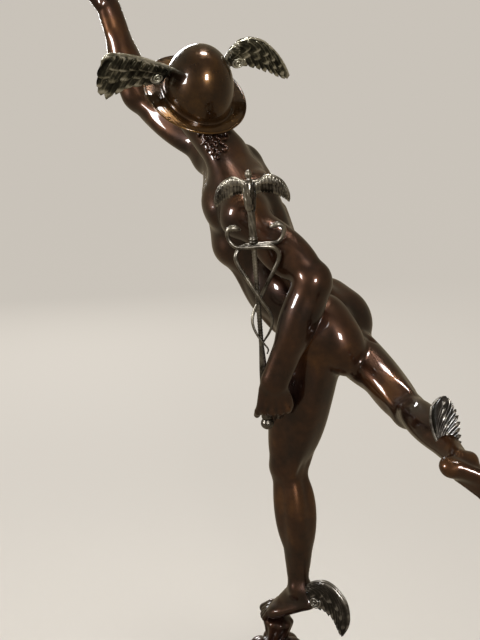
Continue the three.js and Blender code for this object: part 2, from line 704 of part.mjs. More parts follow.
// A blade of feathers between a thick leading edge and a line of feather tips, both drawn flat
// and then bent back a little. The covering feathers stand higher than the long ones.
function wingShape({ edge, tips, feathers, thick, bend }) {
  const columns = feathers * 3;
  const rows = [0, 0.2, 0.52, 1];
  const swell = [0.4, 1, 0.62, 0.22];
  const leading = curve(edge.map(([x, y]) => [x, y, 0]));
  const trailing = curve(tips.map(([x, y]) => [x, y, 0]));
  const points = [];
  const place = (i, r, side) => {
    const s = i / columns;
    const lobe = i % 3 === 0 && i > 0 && i < columns ? 0.86 : 1;
    const reach = rows[r] === 1 ? lobe : rows[r];
    const from = leading.getPointAt(s);
    const to = trailing.getPointAt(s);
    const x = from.x + (to.x - from.x) * reach;
    const y = from.y + (to.y - from.y) * reach;
    const taper = 1 - 0.55 * s;
    const lift = (side * thick * swell[r] * taper) / 2 - bend * x * x;
    points.push([x, y, lift]);
    return points.length - 1;
  };
  const index = [];
  for (let i = 0; i <= columns; i++) {
    const loop = rows.map((row, r) => place(i, r, 1));
    for (let r = rows.length - 1; r >= 0; r--) loop.push(place(i, r, -1));
    index.push(loop);
  }
  const faces = [];
  const around = index[0].length;
  for (let i = 0; i < columns; i++) {
    for (let j = 0; j < around; j++) {
      const next = (j + 1) % around;
      faces.push([index[i][j], index[i][next], index[i + 1][next]]);
      faces.push([index[i][j], index[i + 1][next], index[i + 1][j]]);
    }
  }
  for (let r = 0; r + 1 < rows.length; r++) {
    const far = around - 1 - r;
    const first = index[0];
    const last = index[columns];
    faces.push([first[r], first[far], first[far - 1]], [first[r], first[far - 1], first[r + 1]]);
    faces.push([last[r], last[far - 1], last[far]], [last[r], last[r + 1], last[far - 1]]);
  }
  return { points, faces };
}

// Puts a shape drawn flat into the figure: its x runs outward, its y upward.
function placed({ points, faces }, origin, outward, upward, scale = 1, flip = false) {
  const x = aim(outward);
  const y = aim(sub(upward, mul(x, dot(upward, x))));
  const z = mul(cross(x, y), flip ? -1 : 1);
  const moved = points.map(([a, b, c]) =>
    add(origin, mul(add(add(mul(x, a), mul(y, b)), mul(z, c)), scale)));
  return { points: moved, faces: flip ? faces.map(([a, b, c]) => [a, c, b]) : faces };
}

function merged(shape) {
  const solid = solidOf(shape);
  return solid.volume() < 0
    ? solidOf({ points: shape.points, faces: shape.faces.map(([a, b, c]) => [a, c, b]) })
    : solid;
}

const wingOnHelmetLeft = {
  edge: [[-3, 0], [8, 6], [20, 11], [35, 18], [48, 23], [63, 28], [79, 31], [86, 24]],
  tips: [[2, -12], [13, -19], [26, -20], [40, -20], [52, -21], [62, -28], [74, -29], [83, -8]],
  feathers: 7,
  thick: 7,
  bend: 0.0012,
};
const wingOnHelmetRight = {
  edge: [[-5, 10], [1, 27], [9, 36], [21, 39], [36, 35], [54, 22], [68, 8], [82, -10]],
  tips: [[5, -1], [16, 0], [26, 2], [38, -1], [49, -6], [59, -8], [71, -13], [81, -16]],
  feathers: 7,
  thick: 7,
  bend: 0.0012,
};
const wingOnStandingAnkle = {
  edge: [[-2, 6], [3, 19], [19, 27], [31, 26], [42, 18], [50, 8], [54, -8], [53, -22], [47, -36]],
  tips: [[3, -10], [13, -9], [23, -10], [28, -14], [33, -18], [37, -23], [41, -31], [45, -38]],
  feathers: 6,
  thick: 6,
  bend: 0.0016,
};
const wingOnTrailingAnkle = {
  edge: [[-4, 6], [5, 12], [15, 16], [26, 18], [36, 17], [43, 12], [46, 6]],
  tips: [[-3, -7], [6, -10], [16, -9], [26, -7], [34, -4], [41, 0], [46, 4]],
  feathers: 5,
  thick: 6,
  bend: 0.001,
};

// The helmet: an oval bowl with a short brim, tipped back on the head. It can be grown on all
// sides, which makes room for it in its neighbours.
const bowl = { wide: 38.5, deep: 47, tall: 59, wall: 3, back: -3.8 };
const brim = { wide: 59.4, deep: 64.1, drop: 2.6, thick: 2.4 };
const wingRoot = { aside: bowl.wide - 4.5, ahead: 9, above: bowl.tall - 31 };

function loopAt(count, wide, deep, height, back) {
  return Array.from({ length: count }, (_, j) => {
    const angle = (2 * Math.PI * j) / count;
    return [wide * Math.cos(angle), deep * Math.sin(angle) - back, height];
  });
}

function helmetSolid(grow) {
  const sides = 22;
  const dome = (wide, deep, tall, steps, foot) => Array.from({ length: steps }, (_, i) => {
    const angle = (Math.PI / 2) * ((i + 1) / steps);
    const [sine, cosine] = [Math.sin(angle), Math.cos(angle)];
    return loopAt(sides, wide * sine, deep * sine, foot + tall * cosine, bowl.back);
  });
  const rise = brim.drop;
  const wall = bowl.wall + grow;
  const [a, b, under] = [brim.wide + grow, brim.deep + grow, -brim.thick - grow];
  const loops = [
    ...dome(bowl.wide + grow, bowl.deep + grow, bowl.tall + grow, 7, rise + grow),
    loopAt(sides, bowl.wide + 3, bowl.deep + 3, rise + grow - 0.6, bowl.back * 0.9),
    loopAt(sides, a - 1, b - 1, grow, 0),
    loopAt(sides, a, b, -brim.thick / 2, 0),
    loopAt(sides, a - 1, b - 1, under, 0),
    loopAt(sides, bowl.wide, bowl.deep, rise - brim.thick - 0.6 - grow, bowl.back * 0.9),
    ...dome(bowl.wide - wall, bowl.deep - wall, bowl.tall - wall, 4, rise - 2 - grow).reverse(),
  ];
  const points = [[0, -bowl.back, rise + bowl.tall + 2 * grow]];
  const rings = [{ first: 0, places: 1 }];
  for (const loop of loops) {
    rings.push({ first: points.length, places: sides });
    points.push(...loop);
  }
  rings.push({ first: points.length, places: 1 });
  points.push([0, -bowl.back, rise - 2 + bowl.tall - bowl.wall - 2 * grow]);
  const pick = (ring, j) => ring.first + (j % ring.places);
  return intoHat(solidOf({ points, faces: strips(rings, sides, pick) }));
}

// From millimetres round the brim's middle, with its left as X and its back as Y, to the part.
function intoHat(solid) {
  const [l, b, u] = [hat.left, mul(hat.front, -1), hat.up];
  return solid.transform([...l, 0, ...b, 0, ...u, 0, ...toPlace(hat.origin), 1]);
}

function helmetWing(side, outline) {
  const root = add(toPlace(hat.origin), [0, 1, 2].map((i) =>
    hat.left[i] * side * wingRoot.aside + hat.front[i] * wingRoot.ahead
    + hat.up[i] * wingRoot.above));
  return merged(placed(wingShape(outline), root, mul(hat.left, side), hat.up, 1, side < 0));
}

// A wing held off the figure by the fit: it is cut by the figure moved that far to every side.
function wingOnFigure(outline, root, outward, upward, scale, flip) {
  const shape = merged(placed(wingShape(outline), toPlace(root), outward, upward, scale, flip));
  const ways = [[1, 0, 0], [0, 1, 0], [0, 0, 1]].flatMap((way) => [mul(way, fit), mul(way, -fit)]);
  return largest(ways.reduce((left, way) => left.subtract(figure.translate(way)), shape));
}

function largest(solid) {
  return solid.decompose().reduce((best, piece) => (piece.volume() > best.volume() ? piece : best));
}

// The staff: a turned rod with a ball at each end, two wings and two snakes.
const staffButt = toPlace([100, 42, 412]);
const staffTop = toPlace([177, 50, 878]);
const staffUp = aim(sub(staffTop, staffButt));
const towardBack = [-0.574, 0.819, 0];
const staffSide = aim(sub(towardBack, mul(staffUp, dot(towardBack, staffUp))));
const staffOut = cross(staffSide, staffUp);

const onStaff = ([side, out, height]) =>
  add(staffButt, add(add(mul(staffSide, side), mul(staffOut, out)), mul(staffUp, height)));

const rodProfile = (grow) => [
  [0, 0 - grow],
  [5.4 + grow, 2 - grow],
  [7.6 + grow, 7],
  [5.4 + grow, 12.4 + grow],
  [6 + grow, 14.6],
  [5.6 + grow, 34],
  [4.4 + grow, 72],
  [2.6 + grow, 104],
  [2.6 + grow, 215],
  [4.7 + grow, 217],
  [4.7 + grow, 221],
  [3.6 + grow, 223],
  [3.9 + grow, 257],
  [6.6 + grow, 271],
  [4.6 + grow, 281],
  [2.2 + grow, 284],
  [3.6 + grow, 289],
  [0, 293.5 + grow],
];

function staffRod(grow) {
  const flat = turned(rodProfile(grow).reverse(), 8);
  return flat.transform([...staffSide, 0, ...mul(staffOut, -1), 0, ...staffUp, 0, ...staffButt, 1]);
}

// A snake from its head, beside the rod's collar, down to its tail. It crosses the rod three
// times, behind and in front by turns.
function snake(side) {
  const bends = [
    [15, -1, 231], [21, -1, 233.5], [27, -1, 233], [29.5, -1, 228], [27.5, -2, 220],
    [21, -4, 214], [8, -4.6, 213], [-6, -4.6, 213], [-17, -4, 211], [-22.5, -1, 204],
    [-22, 0, 196], [-15, 1.5, 182], [-7.5, 3.5, 168], [0, 4.2, 154], [7, 3.5, 142],
    [10.5, 1, 132], [10, -1, 123], [6, -3, 113], [0, -4.2, 104], [-4, -3.4, 97], [-2.5, -1, 91],
  ];
  const line = curve(bends.map(([across, out, height]) =>
    onStaff([side * across + 3, side * out, height])));
  const steps = 32;
  const path = line.getSpacedPoints(steps).map((p) => [p.x, p.y, p.z]);
  const radii = path.map((p, i) => (i < 4 ? [1, 3.2, 3.6, 3][i] : 2.7 - (1.5 * i) / steps));
  return merged(tube(path, radii, 5));
}

function staffWing(side) {
  const outline = {
    edge: [[0, 6], [9, 7], [17.5, 11.5], [26, 9.5], [34, 3], [39, -8], [40, -16]],
    tips: [[0, -8], [9, -6], [19, -6.5], [26, -9.5], [32, -13], [36, -16], [39, -19]],
    feathers: 4,
    thick: 4.4,
    bend: 0.002,
  };
  const root = onStaff([2 - side, 0, 274.5]);
  return merged(placed(wingShape(outline), root, mul(staffSide, side), staffUp, 1, side < 0));
}

// A stem of upright strands, widest under the foot, out of three rings of puffs.
function mountShapes() {
  const shapes = [
    oval(upright, [-3, 0, -18], [26, 29, 13], 8),
    rod([-4, 3, -26], [0, 0, -58], 22, 15, 10),
    rod([0, 0, -58], [0, 0, -120], 16, 30, 12),
  ];
  for (let i = 0; i < 9; i++) {
    const angle = (2 * Math.PI * i) / 9;
    const low = angle - 0.5;
    const from = [-3 + 20 * Math.cos(angle), 2 + 22 * Math.sin(angle), -18];
    shapes.push(rod(from, [14 * Math.cos(low), 14 * Math.sin(low), -60], 8, 5.5, 3));
  }
  for (const [count, radius, height, puff, lift] of [
    [6, 31, -71, 19, 0.85], [8, 47, -94, 21, 0.85], [10, 62, -116, 24, 0.9],
  ]) {
    for (let i = 0; i < count; i++) {
      const angle = (2 * Math.PI * i) / count + height;
      const swell = puff * (1 + 0.14 * Math.sin(5 * angle + height));
      const up = height + 4 * Math.cos(3 * angle);
      const centre = [radius * Math.cos(angle), radius * Math.sin(angle), up];
      shapes.push(oval(upright, centre, [swell, swell, swell * lift], 5));
    }
  }
  return shapes;
}

function box(low, high) {
  const geometry = new THREE.BoxGeometry(1, 1, 1).toNonIndexed();
  const array = geometry.getAttribute('position').array;
  const points = [];
  const faces = [];
  const known = new Map();
  for (let i = 0; i < array.length; i += 9) {
    faces.push([0, 3, 6].map((k) => {
      const p = [array[i + k] + 0.5, array[i + k + 1] + 0.5, array[i + k + 2] + 0.5];
      const key = p.join();
      if (!known.has(key)) {
        known.set(key, points.length);
        points.push(p.map((v, n) => low[n] + v * (high[n] - low[n])));
      }
      return known.get(key);
    }));
  }
  return solidOf({ points, faces });
}

const fineSpots = [
  [pose.head, 75, 3],
  [at(handLeft, [0, 10, -40]), 60, 5],
  [add(pose.wristRight, [8, -10, 55]), 70, 5],
  [[-10, -20, 10], 60, 5],
  [at(frameOf(pose.ankleRight, trailingFoot.up, trailingFoot.ahead), [0, 90, -35]), 55, 4],
];

function figureWeight(point) {
  for (const [centre, reach, weight] of fineSpots) {
    if (size(sub(point, centre)) < reach) return weight;
  }
  return 1;
}

const mountGrid = { step: 5, low: [-100, -100, -170], high: [100, 100, 10] };
const mountTriangles = 560;
const mountRaw = softSolid(mountShapes(), mountGrid, mountTriangles, () => 1);
const mountFoot = plinthHeight + fit;
const belowMount = box(
  [-2 * plinthRadius, -2 * plinthRadius, -footHeight], [2 * plinthRadius, 2 * plinthRadius, mountFoot],
);
const mount = mountRaw.subtract(belowMount);

const figureGrid = { step: 5, low: [-190, -440, -80], high: [250, 580, 1290] };
const figureTriangles = 4450;
const figureRaw = softSolid(figureShapes(), figureGrid, figureTriangles, figureWeight);
const helmetRoom = helmetSolid(fit);
const treadMiddle = toPlace([-3, 0, -30]);
const treadReach = 16;
const mountRoom = mount
  .translate(mul(treadMiddle, -1))
  .scale(1 + fit / treadReach)
  .translate(treadMiddle);
const figure = largest(figureRaw
  .subtract(mountRoom)
  .subtract(helmetRoom)
  .subtract(staffRod(fit + 0.1)));
const helmet = helmetSolid(0);
const staff = [staffRod(0), snake(1), snake(-1), staffWing(1), staffWing(-1)]
  .reduce((all, piece) => all.add(piece));

const plinthProfile = [
  [0, plinthHeight],
  [plinthRadius - 16, plinthHeight],
  [plinthRadius - 14, plinthHeight - 2],
  [plinthRadius - 14, plinthHeight - 5],
  [plinthRadius - 10, plinthHeight - 9],
  [plinthRadius - 5, plinthHeight - 12],
  [plinthRadius - 1, plinthHeight - 14],
  [plinthRadius, plinthHeight - 18],
  [plinthRadius, 1.5],
  [plinthRadius - 1.5, 0],
  [0, 0],
];
const plinth = turned(plinthProfile, 30);

const bronze = new THREE.MeshStandardMaterial({ color: 0x4a2c1c, metalness: 0.9, roughness: 0.3 });
const goldenBronze = new THREE.MeshStandardMaterial({ color: 0x6b4526, metalness: 0.9, roughness: 0.3 });
const darkBronze = new THREE.MeshStandardMaterial({ color: 0x2c2f2a, metalness: 0.8, roughness: 0.5 });
const greyMetal = new THREE.MeshStandardMaterial({ color: 0x84817a, metalness: 0.9, roughness: 0.4 });

const wingLeft = largest(helmetWing(1, wingOnHelmetLeft).subtract(helmetRoom));
const wingRight = largest(helmetWing(-1, wingOnHelmetRight).subtract(helmetRoom));
const wingStanding = wingOnFigure(
  wingOnStandingAnkle, [24, 83, 68], [0, 1, 0], [0, 0, 1], 1, false,
);
const wingTrailing = wingOnFigure(
  wingOnTrailingAnkle, [139, 394, 463], [-0.17, -0.12, 0.978], [0.574, -0.819, 0], 1.05, true,
);

const group = new THREE.Group();
function addNode(name, solid, material) {
  const mesh = solid.getMesh();
  const geometry = new THREE.BufferGeometry();
  geometry.setAttribute('position', new THREE.BufferAttribute(mesh.vertProperties, mesh.numProp));
  geometry.setIndex(new THREE.BufferAttribute(mesh.triVerts, 1));
  geometry.computeVertexNormals();
  const node = new THREE.Mesh(geometry, material);
  node.name = name;
  group.add(node);
}

addNode('figure', figure, bronze);
addNode('helmet', helmet, goldenBronze);
addNode('helmet_wing_left', wingLeft, darkBronze);
addNode('helmet_wing_right', wingRight, darkBronze);
addNode('ankle_wing_standing', wingStanding, darkBronze);
addNode('ankle_wing_trailing', wingTrailing, darkBronze);
addNode('caduceus', staff, greyMetal);
addNode('cloud_mount', mount, bronze);
addNode('plinth', plinth, bronze);

export default group;
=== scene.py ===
import json
import math

import bmesh
import bpy
import numpy as np
from mathutils import Matrix, Vector

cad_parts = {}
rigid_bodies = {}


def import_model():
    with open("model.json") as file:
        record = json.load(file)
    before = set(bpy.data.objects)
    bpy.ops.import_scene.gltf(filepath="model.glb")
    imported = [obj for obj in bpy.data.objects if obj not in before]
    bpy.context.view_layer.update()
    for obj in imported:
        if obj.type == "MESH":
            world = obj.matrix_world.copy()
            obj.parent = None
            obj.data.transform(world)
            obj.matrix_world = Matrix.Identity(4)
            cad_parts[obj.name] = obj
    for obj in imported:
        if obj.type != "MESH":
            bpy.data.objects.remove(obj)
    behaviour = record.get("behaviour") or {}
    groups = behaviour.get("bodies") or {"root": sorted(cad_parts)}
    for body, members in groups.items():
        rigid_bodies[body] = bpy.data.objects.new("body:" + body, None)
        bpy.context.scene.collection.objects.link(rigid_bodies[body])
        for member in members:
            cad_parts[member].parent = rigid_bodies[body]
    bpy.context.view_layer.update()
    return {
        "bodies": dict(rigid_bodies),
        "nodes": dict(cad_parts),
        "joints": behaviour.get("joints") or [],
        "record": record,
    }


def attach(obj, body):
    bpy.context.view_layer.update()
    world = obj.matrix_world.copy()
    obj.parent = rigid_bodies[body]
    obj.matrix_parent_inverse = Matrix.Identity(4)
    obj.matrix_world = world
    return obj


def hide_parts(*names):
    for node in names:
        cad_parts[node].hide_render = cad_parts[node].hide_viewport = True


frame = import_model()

# The figure is laid out in thousandths of its height, as in the CAD model. unit is one of them
# in metres, and footPlace is where the standing foot's ball is.
unit = 0.64e-3
footPlace = np.array([-0.014, -0.008, 0.1126])

pose = {
    "hips": (-41, 82, 563), "hipLeft": (9, 79, 566), "kneeLeft": (12, 31, 316),
    "ankleLeft": (13, 55, 79), "hipRight": (-85, 74, 557), "kneeRight": (19, 269, 467),
    "ankleRight": (170, 428, 452), "waist": (-8, 4, 648), "chest": (16, -62, 772),
    "neck": (40, -90, 884), "head": (65, -136, 985), "brim": (64, -139, 987),
    "shoulderLeft": (98, -16, 788), "elbowLeft": (92, 127, 682), "wristLeft": (118, 67, 505),
    "shoulderRight": (-25, -160, 872), "elbowRight": (-2, -330, 984),
    "wristRight": (20, -377, 1145),
}
pose = {name: np.array(place, float) for name, place in pose.items()}


def aim(v):
    v = np.asarray(v, float)
    return v / np.linalg.norm(v)


def mixOf(a, b, t):
    return a + (b - a) * t


def toPlace(p):
    return Vector(np.asarray(p, float) * unit + footPlace)


class LocalFrame:
    # directions of one body part: left, front and up
    def __init__(self, origin, up, front):
        self.origin = np.asarray(origin, float)
        self.up = aim(up)
        self.front = aim(np.asarray(front, float) - self.up * np.dot(self.up, front))
        self.left = np.cross(self.up, self.front)

    def at(self, p):
        return self.origin + self.left * p[0] + self.front * p[1] + self.up * p[2]


hips = LocalFrame(pose["hips"], (0.12, -0.45, 0.88), (-0.02, -1, -0.3))
waist = LocalFrame(pose["waist"], (0.22, -0.5, 0.83), (0.25, -0.9, -0.4))
chest = LocalFrame(pose["chest"], (0.3, -0.27, 0.91), (0.5, -0.73, -0.38))
head = LocalFrame(pose["head"], (0.256, 0.351, 0.901), (-0.405, -0.807, 0.43))
hat = LocalFrame(pose["brim"], (0.369, 0.583, 0.724), (-0.306, -0.659, 0.687))
upright = LocalFrame((0, 0, 0), (0, 0, 1), (0, -1, 0))


# Soft shapes: (distance function, middle, reach, blend width, cuts away or not)
def oval(frame, centre, radii, blend=12, cut=False):
    middle = frame.at(centre)
    radii = np.array(radii, float)
    axes = np.array([frame.left, frame.front, frame.up]).T / radii

    def distance(p):
        q = (p - middle) @ axes
        near = np.sqrt((q * q).sum(axis=1))
        slope = np.sqrt(((q / radii) ** 2).sum(axis=1))
        return near * (near - 1) / np.maximum(slope, 1e-9)

    return distance, middle, radii.max(), blend, cut


def ovals(rows):
    # each row: the frame, the middle, the three radii, the blend, and True if it cuts away
    return [oval(frame, row[:3], row[3:6], *row[6:]) for frame, *row in rows]


def rod(start, end, radiusStart, radiusEnd, blend=12, flat=1, way=(0, 0, 1), cut=False):
    # a rod with round ends, which can be pressed flat along one direction
    way = aim(way)

    def shrink(p):
        return p + np.outer(p @ way, way) * (1 / flat - 1)

    first, last = shrink(np.array([start, end]))
    run = last - first
    span = run @ run
    taper = (radiusStart - radiusEnd) / math.sqrt(span)
    lean = taper / math.sqrt((1 - taper * taper) * span)

    def distance(p):
        q = shrink(p) - first
        along = q @ run / span
        wide = np.sqrt(np.maximum((q * q).sum(axis=1) - along * along * span, 0))
        t = np.clip(along - wide * lean, 0, 1)
        q = q - np.outer(t, run)
        far = np.sqrt((q * q).sum(axis=1))
        gap = far - (radiusStart + (radiusEnd - radiusStart) * t)
        across = q @ way
        stretch = np.sqrt(far * far + across * across * (1 / (flat * flat) - 1))
        return gap * far / np.maximum(stretch, 1e-9)

    middle = (np.asarray(start) + np.asarray(end)) / 2
    reach = np.linalg.norm(np.subtract(end, start)) / 2 + max(radiusStart, radiusEnd)
    return distance, middle, reach, blend, cut


def blendMin(a, b, width):
    h = np.maximum(width - np.abs(a - b), 0) / width
    return np.minimum(a, b) - h * h * width / 4


# What a field reads where no shape is near, and how far past its reach a shape still counts
farValue, margin = 60.0, 34


def fieldAt(shapes, points):
    values = np.full(len(points), farValue)
    for distance, middle, reach, blend, cut in shapes:
        near = np.flatnonzero((np.abs(points - middle) < reach + margin).all(axis=1))
        if len(near) == 0:
            continue
        d = distance(points[near])
        old = values[near]
        values[near] = -blendMin(-old, d, blend) if cut else blendMin(old, d, blend)
    return values


def slopeAt(shapes, points, step=0.25):
    # value and direction of growth of the shapes' field at each point
    moved = [points, *(points + step * axis for axis in np.eye(3))]
    values = fieldAt(shapes, np.concatenate(moved)).reshape(4, -1)
    return values[0], (values[1:] - values[0]).T / step


def muscles(frame, long, girth, outer, rows):
    # each row: place outward, to the front and along, the three radii that way, and the blend.
    # What runs along is a share of the limb's length
    return [
        oval(frame, (outer * out * girth, front * girth, -along * long),
             (wide * girth, deep * girth, tall * long), blend)
        for out, front, along, wide, deep, tall, blend in rows
    ]


def thigh(hip, knee, kneeFront, outer, girth):
    frame = LocalFrame(hip, hip - knee, kneeFront)
    long = np.linalg.norm(knee - hip)
    return [
        rod(frame.at((0, 0, 4)), frame.at((0, 1, -long)), 46 * girth, 30 * girth, 16),
        *muscles(frame, long, girth, outer, [
            (14, 14, 0.48, 32, 32, 0.47, 16), (0, 24, 0.46, 28, 26, 0.45, 16),
            (-17, 14, 0.8, 17, 20, 0.2, 13), (19, 13, 0.78, 14, 17, 0.2, 13),
            (13, -22, 0.47, 24, 25, 0.43, 18), (-12, -22, 0.46, 24, 26, 0.43, 18),
            (-20, -4, 0.26, 31, 36, 0.34, 16), (19, -22, 0.92, 8, 10, 0.14, 9),
            (-18, -21, 0.92, 8, 10, 0.14, 9),
        ]),
    ]


def shank(knee, ankle, kneeFront, outer, girth):
    frame = LocalFrame(knee, knee - ankle, kneeFront)
    long = np.linalg.norm(knee - ankle)
    return [
        rod(frame.at((0, 4, -10)), frame.at((0, 0, -long)), 26 * girth, 17 * girth, 12),
        *muscles(frame, long, girth, outer, [
            (0, 4, 0, 31, 30, 0.14, 12), (0, 29, -0.01, 13, 9, 0.07, 8),
            (0, 25, 0.1, 9, 8, 0.06, 8), (-12, -18, 0.37, 20, 24, 0.3, 14),
            (12, -17, 0.34, 19, 22, 0.28, 14), (0, -14, 0.58, 23, 20, 0.32, 14),
            (7, 13, 0.34, 19, 17, 0.29, 14),
        ]),
        rod(frame.at((0, -12, -0.62 * long)), frame.at((0, -17, -long)), 9, 7, 9),
        oval(frame, (-outer * 15, 3, -long + 4), (7, 9, 11), 7),
        oval(frame, (outer * 15, -3, -long - 3), (7, 8, 11), 7),
    ]


def foot(ankle, ahead, up, outer, heel, share):
    frame = LocalFrame(ankle, up, ahead)
    pad = {"flat": 0.7, "way": frame.up}

    def bar(start, end, radiusStart, radiusEnd, blend, **press):
        ends = [frame.at((outer * side * share, ahead * share, height * share))
                for side, ahead, height in (start, end)]
        return rod(*ends, radiusStart * share, radiusEnd * share, blend, **press)

    shapes = [
        oval(frame, (0, heel * share, -26 * share), np.array((18, 21, 21)) * share, 9),
        bar((0, -4, -6), (-4, 50, -26), 21, 17, 12),
        bar((9, -10, -34), (17, 66, -36), 15, 16, 9, **pad),
        bar((-6, 6, -20), (-14, 74, -33), 18, 17, 9, **pad),
        oval(frame, (0, 68 * share, -33 * share), np.array((31, 24, 14)) * share, 9),
    ]
    toes = [(-16, 84, -16, 130, 9.4), (-4, 88, -5, 121, 7.2), (6.5, 85, 8, 113, 6.8),
            (16, 80, 18.5, 104, 6.5), (25, 72, 28, 93, 6.2)]
    for side, near, sideEnd, far, radius in toes:
        middle = (mixOf(side, sideEnd, 0.45), mixOf(near, far, 0.45), -33)
        shapes.append(bar((side, near - 6, -35), middle, radius, radius * 0.92, 4))
        shapes.append(bar(middle, (sideEnd, far, -42 + radius / 3), radius * 0.92, radius, 2))
    return shapes


def upperArm(shoulder, elbow, bend, outer, girth):
    frame = LocalFrame(shoulder, shoulder - elbow, bend)
    long = np.linalg.norm(elbow - shoulder)
    return [
        rod(frame.at((outer * 4, 0, -14)), frame.at((outer * 3, 0, -0.45 * long)),
            30 * girth, 18 * girth, 12),
        rod(frame.at((0, 0, -20)), frame.at((0, 0, -long)), 24 * girth, 20 * girth, 12),
        *muscles(frame, long, girth, outer, [
            (0, 0, 0.04, 34, 36, 0.19, 16), (0, 13, 0.55, 19, 20, 0.31, 8),
            (4, -11, 0.63, 20, 22, 0.38, 12), (-8, -10, 0.48, 17, 17, 0.32, 10),
            (0, -15, 0.98, 10, 10, 0.09, 9),
        ]),
    ]


def forearm(elbow, wrist, palmWay, outer, girth):
    frame = LocalFrame(elbow, elbow - wrist, palmWay)
    long = np.linalg.norm(wrist - elbow)
    return [
        rod(frame.at((0, 0, -6)), frame.at((0, 0, -long)), 22 * girth, 19 * girth, 12,
            flat=0.78, way=frame.front),
        *muscles(frame, long, girth, outer, [
            (0, -1, 0.03, 20, 18, 0.14, 14), (9, 5, 0.3, 18, 19, 0.34, 12),
            (-9, 3, 0.33, 18, 18, 0.37, 12), (0, -8, 0.36, 17, 15, 0.38, 12),
        ]),
    ]


def openHand(wrist, reach, palmWay):
    frame = LocalFrame(wrist, reach, palmWay)
    press = {"flat": 0.5, "way": frame.front}
    shapes = [
        rod(frame.at((0, 0, -4)), frame.at((0, 0, 16)), 15, 17, 9, flat=0.72, way=frame.front),
        rod(frame.at((8, 0, 20)), frame.at((13, 1, 48)), 13, 12, 8, **press),
        rod(frame.at((-8, 0, 20)), frame.at((-11, 1, 46)), 13, 12, 8, **press),
        oval(frame, (0, -1, 34), (22, 8, 24), 8),
        oval(frame, (18, 5, 20), (10, 9, 17), 7),
    ]
    fingers = [(16, 54, 26, 88, 5), (5.5, 56, 8, 100, 14), (-5, 55, -7, 95, 24),
               (-15, 50, -20, 79, 30)]
    for side, near, sideEnd, far, curl in fingers:
        middle = frame.at((mixOf(side, sideEnd, 0.5), curl * 0.2, mixOf(near, far, 0.5)))
        shapes.append(rod(frame.at((side, 0, near - 8)), middle, 5.8, 5.2, 4))
        shapes.append(rod(middle, frame.at((sideEnd, curl * 0.75, far)), 5.2, 4.2, 2))
    shapes.append(rod(frame.at((20, 4, 14)), frame.at((34, 10, 36)), 8, 6.4, 6))
    shapes.append(rod(frame.at((34, 10, 36)), frame.at((38, 13, 57)), 6.2, 5, 2))
    return shapes


def holdingHand(frame):
    # closed round the staff, the first finger beside it
    def spot(p):
        return frame.at(np.array(p) * 1.1)

    press = {"flat": 0.55, "way": frame.front}
    shapes = [
        rod(spot((0, 0, 4)), spot((0, 0, -14)), 18, 19, 9, flat=0.72, way=frame.front),
        rod(spot((13, 0, -14)), spot((19, 0, -43)), 15, 14, 8, **press),
        rod(spot((-6, 0, -18)), spot((-13, 0, -44)), 14.5, 14, 8, **press),
        oval(frame, (2, -3, -38), (28, 9, 28), 8),
        oval(frame, (12, 10, -22), (11, 10, 18), 7),
        rod(spot((23, -2, -38)), spot((30, 1, -50)), 7.4, 6.8, 5),
        rod(spot((30, 1, -50)), spot((33, 6, -59)), 6.8, 5.6, 2),
    ]
    for side, low in [(9, -74), (-4, -69), (-16, -60)]:
        second, third = spot((side + 1, 14, low)), spot((side, 28, low + 13))
        shapes.append(rod(spot((side, 1, -50)), second, 7.6, 7, 4))
        shapes.append(rod(second, third, 7, 6.4, 2))
        shapes.append(rod(third, spot((side, 25, low + 31)), 6.4, 5.4, 2))
    shapes.append(rod(spot((14, 10, -16)), spot((18, 26, -32)), 8, 7, 6))
    shapes.append(rod(spot((18, 26, -32)), spot((10, 31, -50)), 7, 5.6, 2))
    for side in (21, 8.5, -4, -15.5):
        # knuckles, and the sinews behind them
        shapes.append(oval(frame, np.array((side, -8, -49)) * 1.1, (6.5, 5.5, 7.5), 4))
        shapes.append(rod(spot((side * 0.45, -8.5, -14)), spot((side, -8, -44)), 2.4, 3.2, 5))
    return shapes


def trunk():
    shapes = [
        *ovals([
            (hips, 0, -2, 14, 86, 56, 52, 20), (hips, 0, 34, 34, 72, 46, 60, 20),
            (waist, 0, 10, 4, 74, 55, 72, 24), (chest, 0, 4, -18, 80, 70, 88, 24),
            (chest, 0, -4, 52, 82, 56, 58, 20), (hips, 44, -38, -13, 43, 46, 67, 8),
            (hips, 38, -37, 26, 39, 36, 48, 14), (hips, -41, -24, 10, 40, 42, 56, 9),
            (chest, -38, -36, 74, 30, 30, 44, 14),
        ]),
        rod(hips.at((0, 14, 30)), chest.at((0, 12, -50)), 64, 66, 20,
            flat=0.84, way=waist.front),
    ]
    for side in (1, -1):
        shapes += [
            *ovals([
                (hips, side * 66, -2, 8, 28, 42, 46, 16),
                (hips, side * 54, 6, 56, 32, 40, 38, 22),
                (chest, side * 54, -30, -30, 31, 36, 78, 14),
                (chest, side * 62, -32, 26, 31, 33, 48, 14),
                (chest, side * 38, 42, 32, 42, 24, 36, 10),
                (chest, side * 43, -47, 30, 34, 21, 40, 12),
                (waist, side * 20, -32, -4, 18, 18, 68, 14),
                (chest, side * 26, 50, -36, 36, 28, 30, 16),
            ]),
            rod(hips.at((side * 15, -28, 44)), waist.at((side * 20, -30, 0)), 14, 17, 18),
            rod(waist.at((side * 20, -30, 0)), chest.at((side * 21, -54, -20)), 17, 17, 14),
            oval(waist, (side * 20, 52, 6), (19, 10, 70), 12),
        ]
    return shapes


